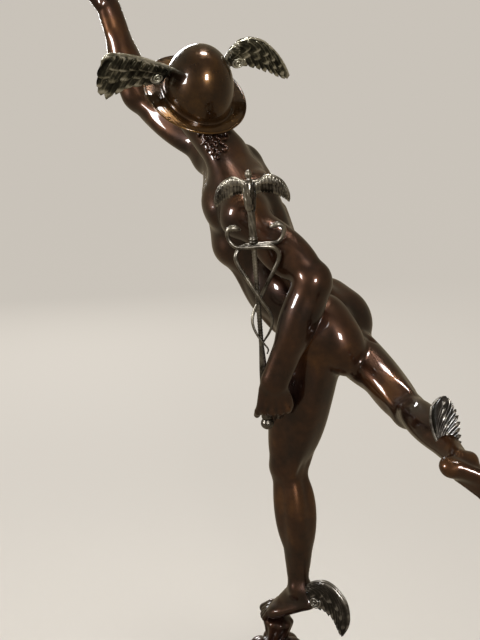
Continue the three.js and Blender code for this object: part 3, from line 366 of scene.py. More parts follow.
def shouldersAndNeck():
    nape = head.at((0, -20, -36))
    shapes = [
        rod(pose["neck"], head.at((0, -12, -40)), 37, 33, 14),
        rod(chest.at((0, -18, 70)), nape, 38, 20, 14),
    ]
    for shoulder, side in [(pose["shoulderLeft"], 1), (pose["shoulderRight"], -1)]:
        inner = chest.at((side * 12, -8, 96))
        shapes += [
            rod(inner, mixOf(shoulder, inner, 0.12), 33, 28, 16),
            rod(chest.at((side * 34, 24, 54)), mixOf(shoulder, inner, 0.1), 34, 27, 18),
            rod(chest.at((side * 62, -34, -12)), mixOf(shoulder, inner, 0.08), 30, 25, 16),
            rod(nape, mixOf(shoulder, inner, 0.25), 17, 20, 24),
            rod(chest.at((side * 40, -38, 46)), shoulder, 24, 26, 16),
        ]
    return shapes


def headShapes():
    shapes = [
        *ovals([
            (head, 0, -9, 17, 48, 58, 54, 8), (hat, 0, -13, 20, 51, 57, 66, 8),
            (head, 0, 15, -12, 38, 40, 48, 10), (head, 0, 21, -42, 28, 27, 23, 10),
            (head, 0, 40, -53, 11, 9, 9, 8),
        ]),
        rod(head.at((0, 52, 8)), head.at((0, 63, -12)), 4.4, 5.6, 5),
        *ovals([
            (head, 0, 59, -15, 9, 5, 4.6, 4), (head, 0, 53.5, -27, 12.5, 5, 3.8, 4),
            (head, 0, 51.5, -34.5, 10.5, 5, 4, 4),
        ]),
    ]
    for side in (1, -1):
        shapes += [
            rod(head.at((side * 6, 53, 12)), head.at((side * 27, 44, 12)), 4.7, 4.2, 6),
            *ovals([
                (head, side * 16.5, 55, 2, 9.5, 9.5, 6.3, 6, True),
                (head, side * 16.5, 45.5, 1, 9, 8, 6.8, 2.5),
                (head, side * 26, 36, -13, 9.5, 9.5, 10.5, 9),
                (head, side * 44, -6, -8, 5, 11.5, 17, 4),
            ]),
        ]
    for i in range(9):
        turn = (-0.5 + i / 8) * 2.9
        sine, cosine = math.sin(turn), math.cos(turn)
        shapes.append(oval(head, (45 * sine, -9 - 48 * cosine, -14 - 6 * math.cos(2 * turn)),
                           (11.5, 11.5, 14), 5))
        if 0 < i < 8:
            shapes.append(oval(head, (40 * sine, -9 - 44 * cosine, -34), (10.5, 10.5, 11), 5))
    return shapes


def creases():
    return [
        rod(chest.at((0, -74, 84)), chest.at((0, -76, 0)), 3, 4, 13, cut=True),
        rod(chest.at((0, -76, 0)), waist.at((0, -50, 0)), 4, 5, 13, cut=True),
        rod(waist.at((0, -50, 0)), hips.at((0, -58, 40)), 5, 3, 13, cut=True),
        rod(hips.at((0, -80, 20)), hips.at((0, -72, -48)), 2.5, 5, 9, cut=True),
        rod(chest.at((0, 70, 50)), waist.at((0, 65, 10)), 5, 5, 12, cut=True),
        oval(waist, (0, 62, -22), (7, 8, 8), 8, True),
    ]


def figureShapes():
    handLeft = LocalFrame(pose["wristLeft"], (0.25, 0.05, 0.95), (-0.8, -0.6, 0.1))
    return [
        *thigh(pose["hipRight"], pose["kneeRight"], (-0.64, 0.06, -0.765), -1, 0.88),
        *trunk(),
        *shouldersAndNeck(),
        *thigh(pose["hipLeft"], pose["kneeLeft"], (-0.1, -1, 0), 1, 1.06),
        *creases(),
        *shank(pose["kneeLeft"], pose["ankleLeft"], (-0.12, -1, 0), 1, 1.02),
        *shank(pose["kneeRight"], pose["ankleRight"], (-0.4, 0.3, -0.85), -1, 0.9),
        *foot(pose["ankleLeft"], (-0.084, -0.897, -0.43), (0.13, -0.455, 0.87), 1, -9, 1),
        *foot(pose["ankleRight"], (-0.166, 0.861, -0.486), (-0.9, -0.326, 0.263), -1,
              -22, 0.85),
        *upperArm(pose["shoulderLeft"], pose["elbowLeft"], (0.171, -0.514, -0.822), 1, 1.22),
        *forearm(pose["elbowLeft"], pose["wristLeft"], (-0.8, -0.56, 0.1), 1, 1.28),
        *upperArm(pose["shoulderRight"], pose["elbowRight"], (0.066, 0.567, 0.82), -1, 1.12),
        *forearm(pose["elbowRight"], pose["wristRight"], (-0.6, -0.75, -0.2), 1, 1.2),
        *openHand(pose["wristRight"], (0.12, -0.16, 0.98), (-0.25, -0.95, -0.2)),
        *holdingHand(handLeft),
        *headShapes(),
    ]


def linear(hexColour):
    # an sRGB hex colour as the linear values that Blender's shaders take
    parts = [int(hexColour[i:i + 2], 16) / 255 for i in (1, 3, 5)]
    return [c / 12.92 if c < 0.04045 else ((c + 0.055) / 1.055) ** 2.4 for c in parts] + [1]


def addNode(tree, kind, inputs=None, **settings):
    node = tree.nodes.new(kind)
    for name, value in settings.items():
        setattr(node, name, value)
    for name, value in (inputs or {}).items():
        if isinstance(value, bpy.types.NodeSocket):
            tree.links.new(value, node.inputs[name])
        else:
            node.inputs[name].default_value = value
    return node


def rampStops(ramp, stops):
    while len(ramp.color_ramp.elements) < len(stops):
        ramp.color_ramp.elements.new(0.5)
    for element, (place, colour) in zip(ramp.color_ramp.elements, stops):
        element.position = place
        element.color = linear(colour)


# Where each shade of a bronze lies on the ramp, how far clouds and specks move it, how far the
# specks change the roughness, each noise's detail and roughness, and the grain's height in
# metres
# The hollow shade is painted shade, which pointiness lays in hollows and creases; worn is
# rubbed patina on edges
shadePlaces = {"hollow": 0.24, "dark": 0.4, "middle": 0.54, "warm": 0.7, "worn": 0.84}
cloudShare, speckShare = 0.8, 0.2
smoothest, roughest = 0.85, 1.2
noiseGrades = {"cloudMm": (3, 0.55), "speckMm": (4, 0.6), "grainMm": (3, 0.5)}
grainHeight = 0.0006


def castBronze(name, look):
    # Cast bronze is a copper alloy, filed smooth and given a chemical patina, then waxed. The
    # eye sees a dark metal whose colour drifts in soft clouds, with painted shade in its
    # hollows and creases and lighter, rubbed patina on its edges, under a clear, sharp gloss.
    material = bpy.data.materials.new(name)
    material.use_nodes = True
    tree = material.node_tree
    tree.nodes.clear()
    place = addNode(tree, "ShaderNodeTexCoord").outputs["Object"]
    clouds, specks, grain = [addNode(tree, "ShaderNodeTexNoise", {
        "Vector": place, "Scale": 1000 / look[size], "Detail": detail, "Roughness": rough,
    }).outputs["Fac"] for size, (detail, rough) in noiseGrades.items()]
    # pointiness paints shade into hollows and creases and lightens the rubbed edges, by the
    # same amount each way
    hollowShadeAndRubbedEdges = addNode(tree, "ShaderNodeMapRange", {
        "Value": addNode(tree, "ShaderNodeNewGeometry").outputs["Pointiness"],
        "From Min": 0.5 - look["edge"], "From Max": 0.5 + look["edge"],
        "To Min": -look["shadeAndRub"], "To Max": look["shadeAndRub"]})
    tone = hollowShadeAndRubbedEdges.outputs["Result"]
    for noise, share in ((clouds, cloudShare), (specks, speckShare)):
        tone = addNode(tree, "ShaderNodeMath", {
            0: noise, 1: share, 2: tone}, operation="MULTIPLY_ADD").outputs[0]
    colour = addNode(tree, "ShaderNodeValToRGB", {"Fac": tone})
    rampStops(colour, [(stop, look[shade]) for shade, stop in shadePlaces.items()])
    roughness = addNode(tree, "ShaderNodeMapRange", {
        "Value": specks, "From Min": 0.3, "From Max": 0.7,
        "To Min": look["roughness"] * smoothest, "To Max": look["roughness"] * roughest})
    bump = addNode(tree, "ShaderNodeBump", {
        "Height": grain, "Strength": look["grain"], "Distance": grainHeight})
    shader = addNode(tree, "ShaderNodeBsdfPrincipled", {
        "Base Color": colour.outputs["Color"], "Metallic": look["metallic"],
        "Roughness": roughness.outputs["Result"], "Normal": bump.outputs["Normal"],
        "Coat Weight": look["wax"], "Coat Roughness": look["waxRoughness"]})
    addNode(tree, "ShaderNodeOutputMaterial", {"Surface": shader.outputs["BSDF"]})
    return material


brownBronze = castBronze("brown patinated bronze", {
    "hollow": "#0D0604", "dark": "#22120B", "middle": "#3B2212", "warm": "#5E3B1A",
    "worn": "#8A6030", "cloudMm": 80, "speckMm": 9, "edge": 0.12, "shadeAndRub": 0.22, "grainMm": 5,
    "grain": 0.03, "roughness": 0.34, "metallic": 0.8, "wax": 1, "waxRoughness": 0.05,
})
goldenBronze = castBronze("golden brown patinated bronze", {
    "hollow": "#100803", "dark": "#221308", "middle": "#3A240E", "warm": "#5C3F18",
    "worn": "#7C5C2C", "cloudMm": 60, "speckMm": 8, "edge": 0.12, "shadeAndRub": 0.2, "grainMm": 5,
    "grain": 0.02, "roughness": 0.3, "metallic": 0.8, "wax": 1, "waxRoughness": 0.04,
})
wingLook = {
    "hollow": "#050503", "dark": "#1C1C15", "middle": "#434237", "warm": "#86826E",
    "worn": "#C8C4B3", "cloudMm": 14, "speckMm": 3, "edge": 0.06, "shadeAndRub": 0.34, "grainMm": 1.2,
    "grain": 0.12, "roughness": 0.36, "metallic": 0.85, "wax": 0.4, "waxRoughness": 0.15,
}
greenBlackBronze = castBronze("green black patinated bronze", wingLook)
# The same patina with darker shades, for the wings on the ankles
blackBronze = castBronze("black patinated bronze", {
    **wingLook, "dark": "#100E0C", "middle": "#211D1B", "warm": "#3E3935", "worn": "#757068",
    "roughness": 0.32, "wax": 0.7, "waxRoughness": 0.1,
})
rubbedGreyBronze = castBronze("rubbed grey bronze", {
    "hollow": "#0C0A08", "dark": "#2B2620", "middle": "#67625A", "warm": "#938D80",
    "worn": "#C4BEB0", "cloudMm": 18, "speckMm": 3, "edge": 0.12, "shadeAndRub": 0.3, "grainMm": 1.5,
    "grain": 0.1, "roughness": 0.32, "metallic": 0.95, "wax": 0.3, "waxRoughness": 0.12,
})
baseBronze = castBronze("dark base bronze", {
    "hollow": "#0A0503", "dark": "#1A0D09", "middle": "#301A10", "warm": "#4A2C18",
    "worn": "#7A5430", "cloudMm": 40, "speckMm": 6, "edge": 0.12, "shadeAndRub": 0.24, "grainMm": 3,
    "grain": 0.06, "roughness": 0.36, "metallic": 0.8, "wax": 0.8, "waxRoughness": 0.1,
})


# In metres: how near points are to be merged in a CAD node and in a drawing, and how short an
# edge is dropped
cadWeld, weld, sliver = 2e-6, 8e-6, 4e-6


def newObject(name, data):
    holder = bpy.data.objects.new(name, data)
    bpy.context.collection.objects.link(holder)
    return holder


def meshOf(name, bm):
    # empties a bmesh into a new mesh
    mesh = bpy.data.meshes.new(name)
    bm.to_mesh(mesh)
    bm.free()
    return mesh


def smoothObject(name, bm, material):
    mesh = meshOf(name, bm)
    mesh.shade_smooth()
    mesh.materials.append(material)
    return newObject(name, mesh)


def newPiece(name, bm, material, slot, *nodes):
    piece = smoothObject(name, bm, material)
    print(name, len(piece.data.polygons), "faces")
    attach(piece, "root")
    if nodes:
        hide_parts(*nodes)


def remeshed(bm, voxel):
    # one even skin over what the bmesh holds, as a new bmesh
    mesh = meshOf("rough", bm)
    rough = newObject("rough", mesh)
    remesh = rough.modifiers.new("remesh", "REMESH")
    remesh.mode = "VOXEL"
    remesh.voxel_size = voxel
    dressed = rough.evaluated_get(bpy.context.evaluated_depsgraph_get())
    result = bmesh.new()
    result.from_mesh(dressed.to_mesh())
    dressed.to_mesh_clear()
    bpy.data.objects.remove(rough)
    bpy.data.meshes.remove(mesh)
    return result


def skinOf(node, voxel):
    # one even skin over a CAD node, whose mesh is loose triangles
    bm = bmesh.new()
    bm.from_mesh(frame["nodes"][node].data)
    bmesh.ops.remove_doubles(bm, verts=bm.verts, dist=cadWeld)
    return remeshed(bm, voxel)


def softened(bm, factor):
    bmesh.ops.smooth_vert(bm, verts=bm.verts, factor=factor, use_axis_x=True,
                          use_axis_y=True, use_axis_z=True)
    bmesh.ops.recalc_face_normals(bm, faces=bm.faces)


def settle(bm, shapes, steps=4, leastSlope=0.15, longestMove=3):
    # moves every vertex onto the skin of the soft shapes
    points = (np.array([v.co for v in bm.verts]) - footPlace) / unit
    for _ in range(steps):
        value, slope = slopeAt(shapes, points)
        steep = np.maximum((slope * slope).sum(axis=1), leastSlope)
        move = slope * (value / steep)[:, None]
        far = np.maximum(np.linalg.norm(move, axis=1) / longestMove, 1)
        points -= move / far[:, None]
    for vert, point in zip(bm.verts, points * unit + footPlace):
        vert.co = point


figureLook = {
    "voxel": 0.0024, "smooth": 0.4,
    # face, hands and feet: a place in the figure's thousandths, and how far round it the mesh
    # is made finer
    "fineSpots": [(head.at((0, 15, -20)), 62), (pose["wristRight"] + (8, -10, 55), 66),
                  (pose["wristLeft"] + (0, 0, -45), 62), ((-14, -24, 10), 56),
                  (pose["ankleRight"] + (26, 62, -45), 62)],
}


def figurePiece():
    shapes = figureShapes()
    bm = skinOf("figure", figureLook["voxel"])
    settle(bm, shapes)
    for centre, reach in figureLook["fineSpots"]:
        middle = toPlace(centre)
        edges = [e for e in bm.edges if (e.verts[0].co - middle).length < reach * unit]
        bmesh.ops.subdivide_edges(bm, edges=edges, cuts=1, use_grid_fill=True)
    settle(bm, shapes, 3)
    softened(bm, figureLook["smooth"])
    newPiece("bronze_figure", bm, brownBronze, "brown_bronze", "figure")


figurePiece()


def smoothLine(points, count, fine=20):
    # evenly spaced places on a smooth line through the points
    p = np.array(points, float)
    p = np.vstack([2 * p[0] - p[1], p, 2 * p[-1] - p[-2]])
    line = []
    for a, b, c, d in zip(p, p[1:], p[2:], p[3:]):
        for t in np.arange(fine) / fine:
            line.append(0.5 * (2 * b + (c - a) * t + (2 * a - 5 * b + 4 * c - d) * t * t
                               + (3 * b - a - 3 * c + d) * t ** 3))
    line = np.array(line + [p[-2]])
    steps = np.linalg.norm(np.diff(line, axis=0), axis=1)
    along = np.concatenate([[0], np.cumsum(steps)])
    wanted = np.linspace(0, along[-1], count)
    return np.array([np.interp(wanted, along, column) for column in line.T]).T


def loft(bm, rings):
    # joins rings of places one after the other, and closes both ends
    loops = []
    for places in rings:
        ring = bmesh.ops.create_circle(bm, segments=len(places), radius=1)["verts"]
        for vert, place in zip(ring, places):
            vert.co = place
        loops.append(list({edge for vert in ring for edge in vert.link_edges}))
    for first, second in zip(loops, loops[1:]):
        bmesh.ops.bridge_loops(bm, edges=first + second)
    for end in (loops[0], loops[-1]):
        bmesh.ops.contextual_create(bm, geom=end)


def turnsOf(count):
    return np.arange(count) * 2 * math.pi / count


def ringOf(sides, wide, deep, height, shift=0):
    return [(wide * math.cos(a), deep * math.sin(a) + shift, height) for a in turnsOf(sides)]


def tubeAlong(bm, line, radii, sides=10):
    # a round bar along a line, with a radius at each place
    rings, across = [], np.array([0, 0, 1.0])
    for i, place in enumerate(line):
        along = aim(line[min(i + 1, len(line) - 1)] - line[max(i - 1, 0)])
        across = aim(across - along * (across @ along))
        third = np.cross(along, across)
        rings.append([place + radii[i] * (across * math.cos(a) + third * math.sin(a))
                      for a in turnsOf(sides)])
    loft(bm, rings)


def plate(bm, across, along, placeOf):
    # a closed plate of two grids that meet all round. placeOf takes the place across, from -1
    # to 1, the share of the length, and the side
    for side in (1, -1):
        grid = bmesh.ops.create_grid(bm, x_segments=across, y_segments=along, size=1)["verts"]
        for vert in grid:
            vert.co = placeOf(vert.co.x, (vert.co.y + 1) / 2, side)


# Shares of a feather's length: where its tip starts to round and how long that is, where it is
# full wide and full thick. Then its root's share of the width, and in mm its swell, the height
# of its shaft, ripple, underside and slant, with the shaft's share of the width
featherLook = {
    "tipFrom": 0.7, "tipLong": 0.3, "fullWide": 0.5, "fullThick": 0.12, "root": 0.4,
    "swell": 0.6, "shaft": 0.5, "shaftWide": 0.3, "ripple": 0.2, "under": 0.35, "slant": 0.55,
}


def feather(bm, pathOf, wide, low, high, side, grain):
    # one feather lying on one side of the wing, ridged along its length and rounded at its tip
    look = featherLook
    nearby = 0.04

    def placeOf(u, v, face):
        spot = pathOf(v)
        along = aim(pathOf(min(v + nearby, 1)) - pathOf(max(v - nearby, 0)))
        ends = math.sqrt(max(0, 1 - max(0, (v - look["tipFrom"]) / look["tipLong"]) ** 2))
        widen = look["root"] + (1 - look["root"]) * min(1, v / look["fullWide"])
        spot = spot + np.array([along[1], -along[0]]) * u * (wide / 2 * widen * ends)
        body = min(1, v / look["fullThick"]) * ends
        crown = 1 - u * u
        rise = -look["under"] * crown
        if face > 0:
            shaft = max(0, 1 - abs(u) / look["shaftWide"])
            rise = (look["swell"] * crown + look["shaft"] * shaft
                    + look["ripple"] * math.cos(4 * math.pi * u))
        lift = mixOf(low, high, v) + look["slant"] * u * ends + rise * body
        return (spot[0], spot[1], side * lift)

    plate(bm, grain[0], grain[1], placeOf)


# Shares of the wing's thickness and of the boss's radius, and the spiral's turns in radians
bossLook = {"high": 0.42, "turns": (0.4, 4.2 * math.pi), "points": 46, "inner": 0.12,
            "spread": 0.8, "bar": (0.12, 0.17)}


def curlBoss(bm, middle, radius, thick):
    # the rolled-up lobe at the wing's root: a flat ball with a spiral standing up on each side
    high = thick * bossLook["high"]
    size = Matrix.Translation((*middle, 0)) @ Matrix.Diagonal((radius, radius, high, 1))
    bmesh.ops.create_uvsphere(bm, u_segments=24, v_segments=12, radius=1, matrix=size)
    for side in (1, -1):
        turns = np.linspace(*bossLook["turns"], bossLook["points"])
        reach = radius * (bossLook["inner"] + bossLook["spread"] * turns / turns[-1])
        line = np.array([middle[0] + reach * np.cos(turns), middle[1] + reach * np.sin(turns),
                         side * high * np.sqrt(1 - (reach / radius) ** 2 * 0.9)]).T
        tubeAlong(bm, line, np.linspace(*bossLook["bar"], len(line)) * radius, 6)


# The core under the feathers: its grid, its share of the wing's depth, how soon it is thick
# behind the front edge, how it thins outward and to its rear, and how square its ends are
coreLook = {"steps": 41, "grid": (30, 12), "reach": 0.9, "front": 0.14, "thinner": 0.55,
            "fall": 0.8, "square": 6}
# The feathers: how much their reach strays, their least width in mm, where along them the
# spacing is measured, how far they stand off at the root, and the front edge's bar as shares
# of the wing's thickness
rowLook = {"stray": 0.03, "narrowest": 1.6, "measured": (0.6, 0.65, 0.7), "rootStand": 0.6,
           "bar": (0.32, 0.15), "barEnd": [0.95, 0.8, 0.6, 0.3]}


def wingMesh(look):
    # a wing drawn flat, its x outward from the root and its y upward, in mm
    bm = bmesh.new()
    luck = np.random.default_rng(look["seed"])
    steps = coreLook["steps"]
    edge, tips = smoothLine(look["edge"], steps), smoothLine(look["tips"], steps)

    def spot(s, reach):
        at = min(max(s, 0), 1) * (steps - 1)
        first, last = [np.array([np.interp(at, range(steps), line[:, k]) for k in (0, 1)])
                       for line in (edge, tips)]
        return first + (last - first) * reach

    def depth(s, reach):
        # half the core's thickness
        front = math.sqrt(min(1, reach / coreLook["front"]))
        return (look["thick"] / 2 * (1 - coreLook["thinner"] * s) * front
                * max(0, 1 - reach) ** coreLook["fall"])

    def core(u, v, side):
        s = (u + 1) / 2
        x, y = spot(s, v * coreLook["reach"])
        return (x, y, side * depth(s, v) * (1 - abs(u) ** coreLook["square"]))

    def pathTo(s, begin, reach, sweep):
        # the middle line of a feather whose tip is at s, from nearer the wing's root
        start = s * (1 - sweep * look["sweep"])

        def pathOf(v):
            return spot(mixOf(start, s, v ** 0.9), mixOf(begin, reach, v ** 1.25))

        return pathOf

    before, at, after = rowLook["measured"]
    plate(bm, *coreLook["grid"], core)
    for count, start, end, begin, reach, share, stand, sweep in look["rows"]:
        for side in (1, -1):
            for i in range(count):
                s = mixOf(start, end, (i + 0.7) / count)
                reachHere = reach * (1 + rowLook["stray"] * luck.uniform(-1, 1))
                path = pathTo(s, begin, reachHere, sweep)
                beside = pathTo(s - (end - start) / count, begin, reachHere, sweep)
                along = aim(path(after) - path(before))
                gap = beside(at) - path(at)
                spacing = abs(along[0] * gap[1] - along[1] * gap[0])
                feather(bm, path, max(spacing * share, rowLook["narrowest"]),
                        depth(s, begin) + stand * rowLook["rootStand"],
                        depth(s, min(reach, coreLook["reach"])) + stand, side, look["grain"])
    line = np.column_stack([edge, np.zeros(steps)])
    radii = np.linspace(*(look["thick"] * share for share in rowLook["bar"]), steps)
    radii[-len(rowLook["barEnd"]):] *= rowLook["barEnd"]
    tubeAlong(bm, line, radii)
    for middle, radius in look["curls"]:
        curlBoss(bm, middle, radius, look["thick"])
    for vert in bm.verts:
        vert.co.z -= look["bend"] * vert.co.x ** 2
    return bm


def flatPlace(origin, outward, upward, turned=False, scale=1):
    # from millimetres in a flat drawing to the part: x runs outward and y upward
    x = aim(outward)
    y = aim(np.asarray(upward) - x * (x @ np.asarray(upward)))
    z = np.cross(x, y) * (-1 if turned else 1)
    place = Matrix.Translation(origin)
    return place @ Matrix(np.column_stack([x, y, z])).to_4x4() @ Matrix.Scale(scale / 1000, 4)


def closed(bm, place):
    # puts a finished drawing in its place, welds it and turns its faces outward
    bmesh.ops.transform(bm, matrix=place, verts=bm.verts)
    bmesh.ops.remove_doubles(bm, verts=bm.verts, dist=weld)
    bmesh.ops.dissolve_degenerate(bm, edges=bm.edges, dist=sliver)
    bmesh.ops.recalc_face_normals(bm, faces=bm.faces)
    return bm


# In the figure's thousandths: locks in each row, how far apart they are and stray, the first
# row's front and height and the step to the next, a lock's reach and thickness. bend is its
# turn in radians, open what it closes up by, lift how far it stands off at its ends
curlLook = {
    "rows": (4, 5, 4, 3, 1), "apart": 12.5, "stray": 3, "front": -70, "height": -44,
    "stepBack": 10, "stepDown": 5.6, "reach": 8, "thick": 3.2, "bend": 5, "open": 0.72,
    "lift": (1, 3.2), "long": 1.15, "points": 20, "seed": 11,
}


def napeCurls():
    # short curled locks on the nape, under the brim
    bm = bmesh.new()
    shapes = figureShapes()
    look = curlLook
    luck = np.random.default_rng(look["seed"])
    turns = np.linspace(0, 1, look["points"])
    reach = look["reach"] * (1 - look["open"] * turns)
    lift = look["lift"][0] + look["lift"][1] * turns
    thick = look["thick"] * np.interp(turns, [0, 0.12, 0.75, 1], [0.4, 1, 0.85, 0.35])
    for row, count in enumerate(look["rows"]):
        for i in range(count):
            stray = luck.uniform(-look["stray"], look["stray"])
            side = (i - (count - 1) / 2) * look["apart"] + stray
            spot = head.at((side, look["front"] - look["stepBack"] * row,
                            look["height"] - look["stepDown"] * row))[None]
            for _ in range(6):
                value, slope = slopeAt(shapes, spot)
                spot = spot - slope * (value / (slope ** 2).sum(axis=1))[:, None]
            out = aim(slope[0])
            across = aim(np.cross(out, head.up))
            down = np.cross(across, out)
            hand = 1 if (i + row) % 2 else -1
            angle = turns * look["bend"] + luck.uniform(-1, 1.6)
            line = (spot + np.outer(reach * np.cos(angle) * hand, across)
                    + np.outer(reach * np.sin(angle) * look["long"], down)
                    + np.outer(lift, out))
            tubeAlong(bm, line * unit + footPlace, thick * unit, 8)
    bmesh.ops.recalc_face_normals(bm, faces=bm.faces)
    newPiece("nape_curls", bm, baseBronze, "dark_base_bronze")


napeCurls()

# How many feathers, where along the edge they start and end, their root's and tip's share of
# the wing's depth, their width as a share of their spacing, how far they stand off the core in
# mm, and how far they sweep back to the root, as a share of the wing's own sweep
longRow = (8, 0.06, 1, 0.14, 1.03, 1.5, 0.15, 1)
middleRow = (6, 0.06, 0.95, 0.05, 0.66, 1.5, 0.8, 0.85)
shortRow = (6, 0.08, 0.84, 0.02, 0.36, 1.5, 1.4, 0.6)
ankleRow = (6, 0.08, 0.95, 0.03, 0.56, 1.6, 0.7, 1)

wings = {
    "helmet_wing_left": {
        "edge": [(-3, 0), (8, 6), (20, 11), (35, 18), (48, 23), (63, 28), (79, 31), (86, 24)],
        "tips": [(2, -12), (13, -19), (26, -20), (40, -20), (52, -21), (62, -28), (74, -29),
                 (83, -8)],
        "rows": [longRow, middleRow, shortRow], "curls": [((14, -9), 8)],
        "thick": 7, "bend": 0.0012, "sweep": 0.14, "grain": (8, 10), "seed": 3,
    },
    "helmet_wing_right": {
        "edge": [(-5, 10), (1, 27), (9, 36), (21, 39), (36, 35), (54, 22), (68, 8), (82, -10)],
        "tips": [(5, -1), (16, 0), (26, 2), (38, -1), (49, -6), (59, -8), (71, -13),
                 (81, -16)],
        "rows": [longRow, middleRow, shortRow], "curls": [((12, 8), 9)],
        "thick": 7, "bend": 0.0012, "sweep": 0.55, "grain": (8, 10), "seed": 4,
    },
    "ankle_wing_standing": {
        "edge": [(-2, 6), (3, 19), (19, 27), (31, 26), (42, 18), (50, 8), (54, -8), (53, -22),
                 (47, -36)],
        "tips": [(3, -10), (13, -9), (23, -10), (28, -14), (33, -18), (37, -23), (41, -31),
                 (45, -38)],
        "rows": [longRow, ankleRow], "curls": [((11, -2), 8)],
        "thick": 6, "bend": 0.0016, "sweep": 0.75, "grain": (8, 10), "seed": 5,
    },
    "ankle_wing_trailing": {
        "edge": [(-4, 6), (5, 12), (15, 16), (26, 18), (36, 17), (43, 12), (46, 6)],
        "tips": [(-3, -7), (6, -10), (16, -9), (26, -7), (34, -4), (41, 0), (46, 4)],
        "rows": [longRow, ankleRow], "curls": [((4, 1), 6)],
        "thick": 6, "bend": 0.001, "sweep": 0.8, "grain": (8, 10), "seed": 6,
    },
}


def helmetWingPlace(side):
    root = np.array(toPlace(hat.origin)) * 1000
    root = root + hat.left * side * 34 + hat.front * 9 + hat.up * 28
    return flatPlace(Vector(root / 1000), hat.left * side, hat.up, side < 0)


wingPlaces = {
    "helmet_wing_left": helmetWingPlace(1),
    "helmet_wing_right": helmetWingPlace(-1),
    "ankle_wing_standing": flatPlace(toPlace((24, 83, 68)), (0, 1, 0), (0, 0, 1)),
    "ankle_wing_trailing": flatPlace(toPlace((139, 394, 463)), (-0.17, -0.12, 0.978),
                                     (0.574, -0.819, 0), True, 1.05),
}


def wingPieces():
    for name, look in wings.items():
        bm = closed(wingMesh(look), wingPlaces[name])
        bronze = greenBlackBronze if "helmet" in name else blackBronze
        newPiece("feathered_" + name, bm, bronze, "green_black_bronze", name)


# The helmet, in millimetres round the brim's middle
bowl = {"wide": 38.5, "deep": 47, "tall": 59, "wall": 3, "back": -3.8}
brim = {"wide": 59.4, "deep": 64.1, "drop": 2.6, "thick": 2.4}
helmetLook = {
    "sides": 96, "domeRows": 26, "innerRows": 12, "brimRows": 8, "lipRows": 6,
    # out from the dome, height and share of the dome's shift
    "crease": [(0.9, -1.3, 0.97), (1.6, -1.7, 0.94), (2.6, -1.2, 0.9)],
    "hollow": 0.7, "lip": 1.2, "lipUp": 0.5,
}


def helmetPiece():
    bm = bmesh.new()
    sides, rise, lip = helmetLook["sides"], brim["drop"], helmetLook["lip"]
    shift = -bowl["back"]

    def dome(wall, foot, rows):
        for i in range(rows + 1):
            angle = math.pi / 2 * (0.004 + 0.996 * i / rows)
            yield ringOf(sides, (bowl["wide"] - wall) * math.sin(angle),
                         (bowl["deep"] - wall) * math.sin(angle),
                         foot + (bowl["tall"] - wall) * math.cos(angle), shift)

    rings = list(dome(0, rise, helmetLook["domeRows"]))
    # the crease where the dome meets the brim, then the brim's hollow and its rolled lip
    for out, drop, share in helmetLook["crease"]:
        rings.append(ringOf(sides, bowl["wide"] + out, bowl["deep"] + out, rise + drop,
                            shift * share))
    for i in range(1, helmetLook["brimRows"] + 1):
        t = i / helmetLook["brimRows"]
        wide = mixOf(bowl["wide"] + out, brim["wide"] - 2.2, t)
        deep = mixOf(bowl["deep"] + out, brim["deep"] - 2.2, t)
        height = mixOf(rise + drop, 0.2, t) + helmetLook["hollow"] * math.sin(math.pi * t)
        rings.append(ringOf(sides, wide, deep, height, shift * share * (1 - t)))
    for i in range(helmetLook["lipRows"] + 1):
        angle = math.pi * (0.72 - 1.22 * i / helmetLook["lipRows"])
        out, up = lip * math.cos(angle), lip * math.sin(angle)
        rings.append(ringOf(sides, brim["wide"] - lip + out, brim["deep"] - lip + out,
                            up - lip + helmetLook["lipUp"], 0))
    under = rise - brim["thick"] - 0.6
    rings.append(ringOf(sides, bowl["wide"], bowl["deep"], under, shift * 0.9))
    rings += list(dome(bowl["wall"], rise - 2, helmetLook["innerRows"]))[::-1]
    loft(bm, rings)
    place = Matrix(np.column_stack([hat.left, -hat.front, hat.up])).to_4x4()
    place = Matrix.Translation(toPlace(hat.origin)) @ place @ Matrix.Scale(0.001, 4)
    closed(bm, place)
    newPiece("bronze_helmet", bm, goldenBronze, "golden_brown_bronze", "helmet")


# The staff, in millimetres from its butt: x to its side, y toward the figure and z along it
staffButt = np.array(toPlace((100, 42, 412)))
staffTop = np.array(toPlace((177, 50, 878)))
staffUp = aim(staffTop - staffButt)
staffSide = np.array([-0.574, 0.819, 0])
staffSide = aim(staffSide - staffUp * (staffSide @ staffUp))
staffOut = np.cross(staffSide, staffUp)

staffLook = {
    "sides": 24, "step": 0.9,
    # radius and height
    "rows": [(0.1, 0), (3.4, 0.6), (5.6, 2.2), (7.2, 4.6), (7.6, 7), (7.1, 9.5), (5.6, 12),
             (5, 12.8), (5.6, 13.6), (6.2, 14.6), (6, 20), (5.6, 34), (4.4, 72), (2.7, 100),
             (2.6, 104), (2.6, 214), (2.9, 215.2), (4.4, 215.8), (4.9, 217), (4.9, 218),
             (4, 219), (4.9, 220), (4.9, 221), (4.2, 222.2), (3.7, 223), (3.9, 256),
             (4.8, 258), (4.6, 260), (5.2, 264), (6.4, 270), (6.2, 274), (4.8, 280),
             (2.6, 283), (2.2, 284.4), (3.1, 286), (3.7, 288.6), (3.4, 290.6), (2.2, 292.6),
             (0.1, 293.5)],
    # how many, width, lowest and highest point, and how far the tips reach
    "leaves": [(5, 8, 250, 272, 6.4), (6, 7, 258, 282, 7.6)],
    # lowest and highest point, swell as a share of the radius, and turn for each mm
    "twist": (224, 256, 0.09, 0.42), "rings": (106, 213, 0.07, 1.9),
}


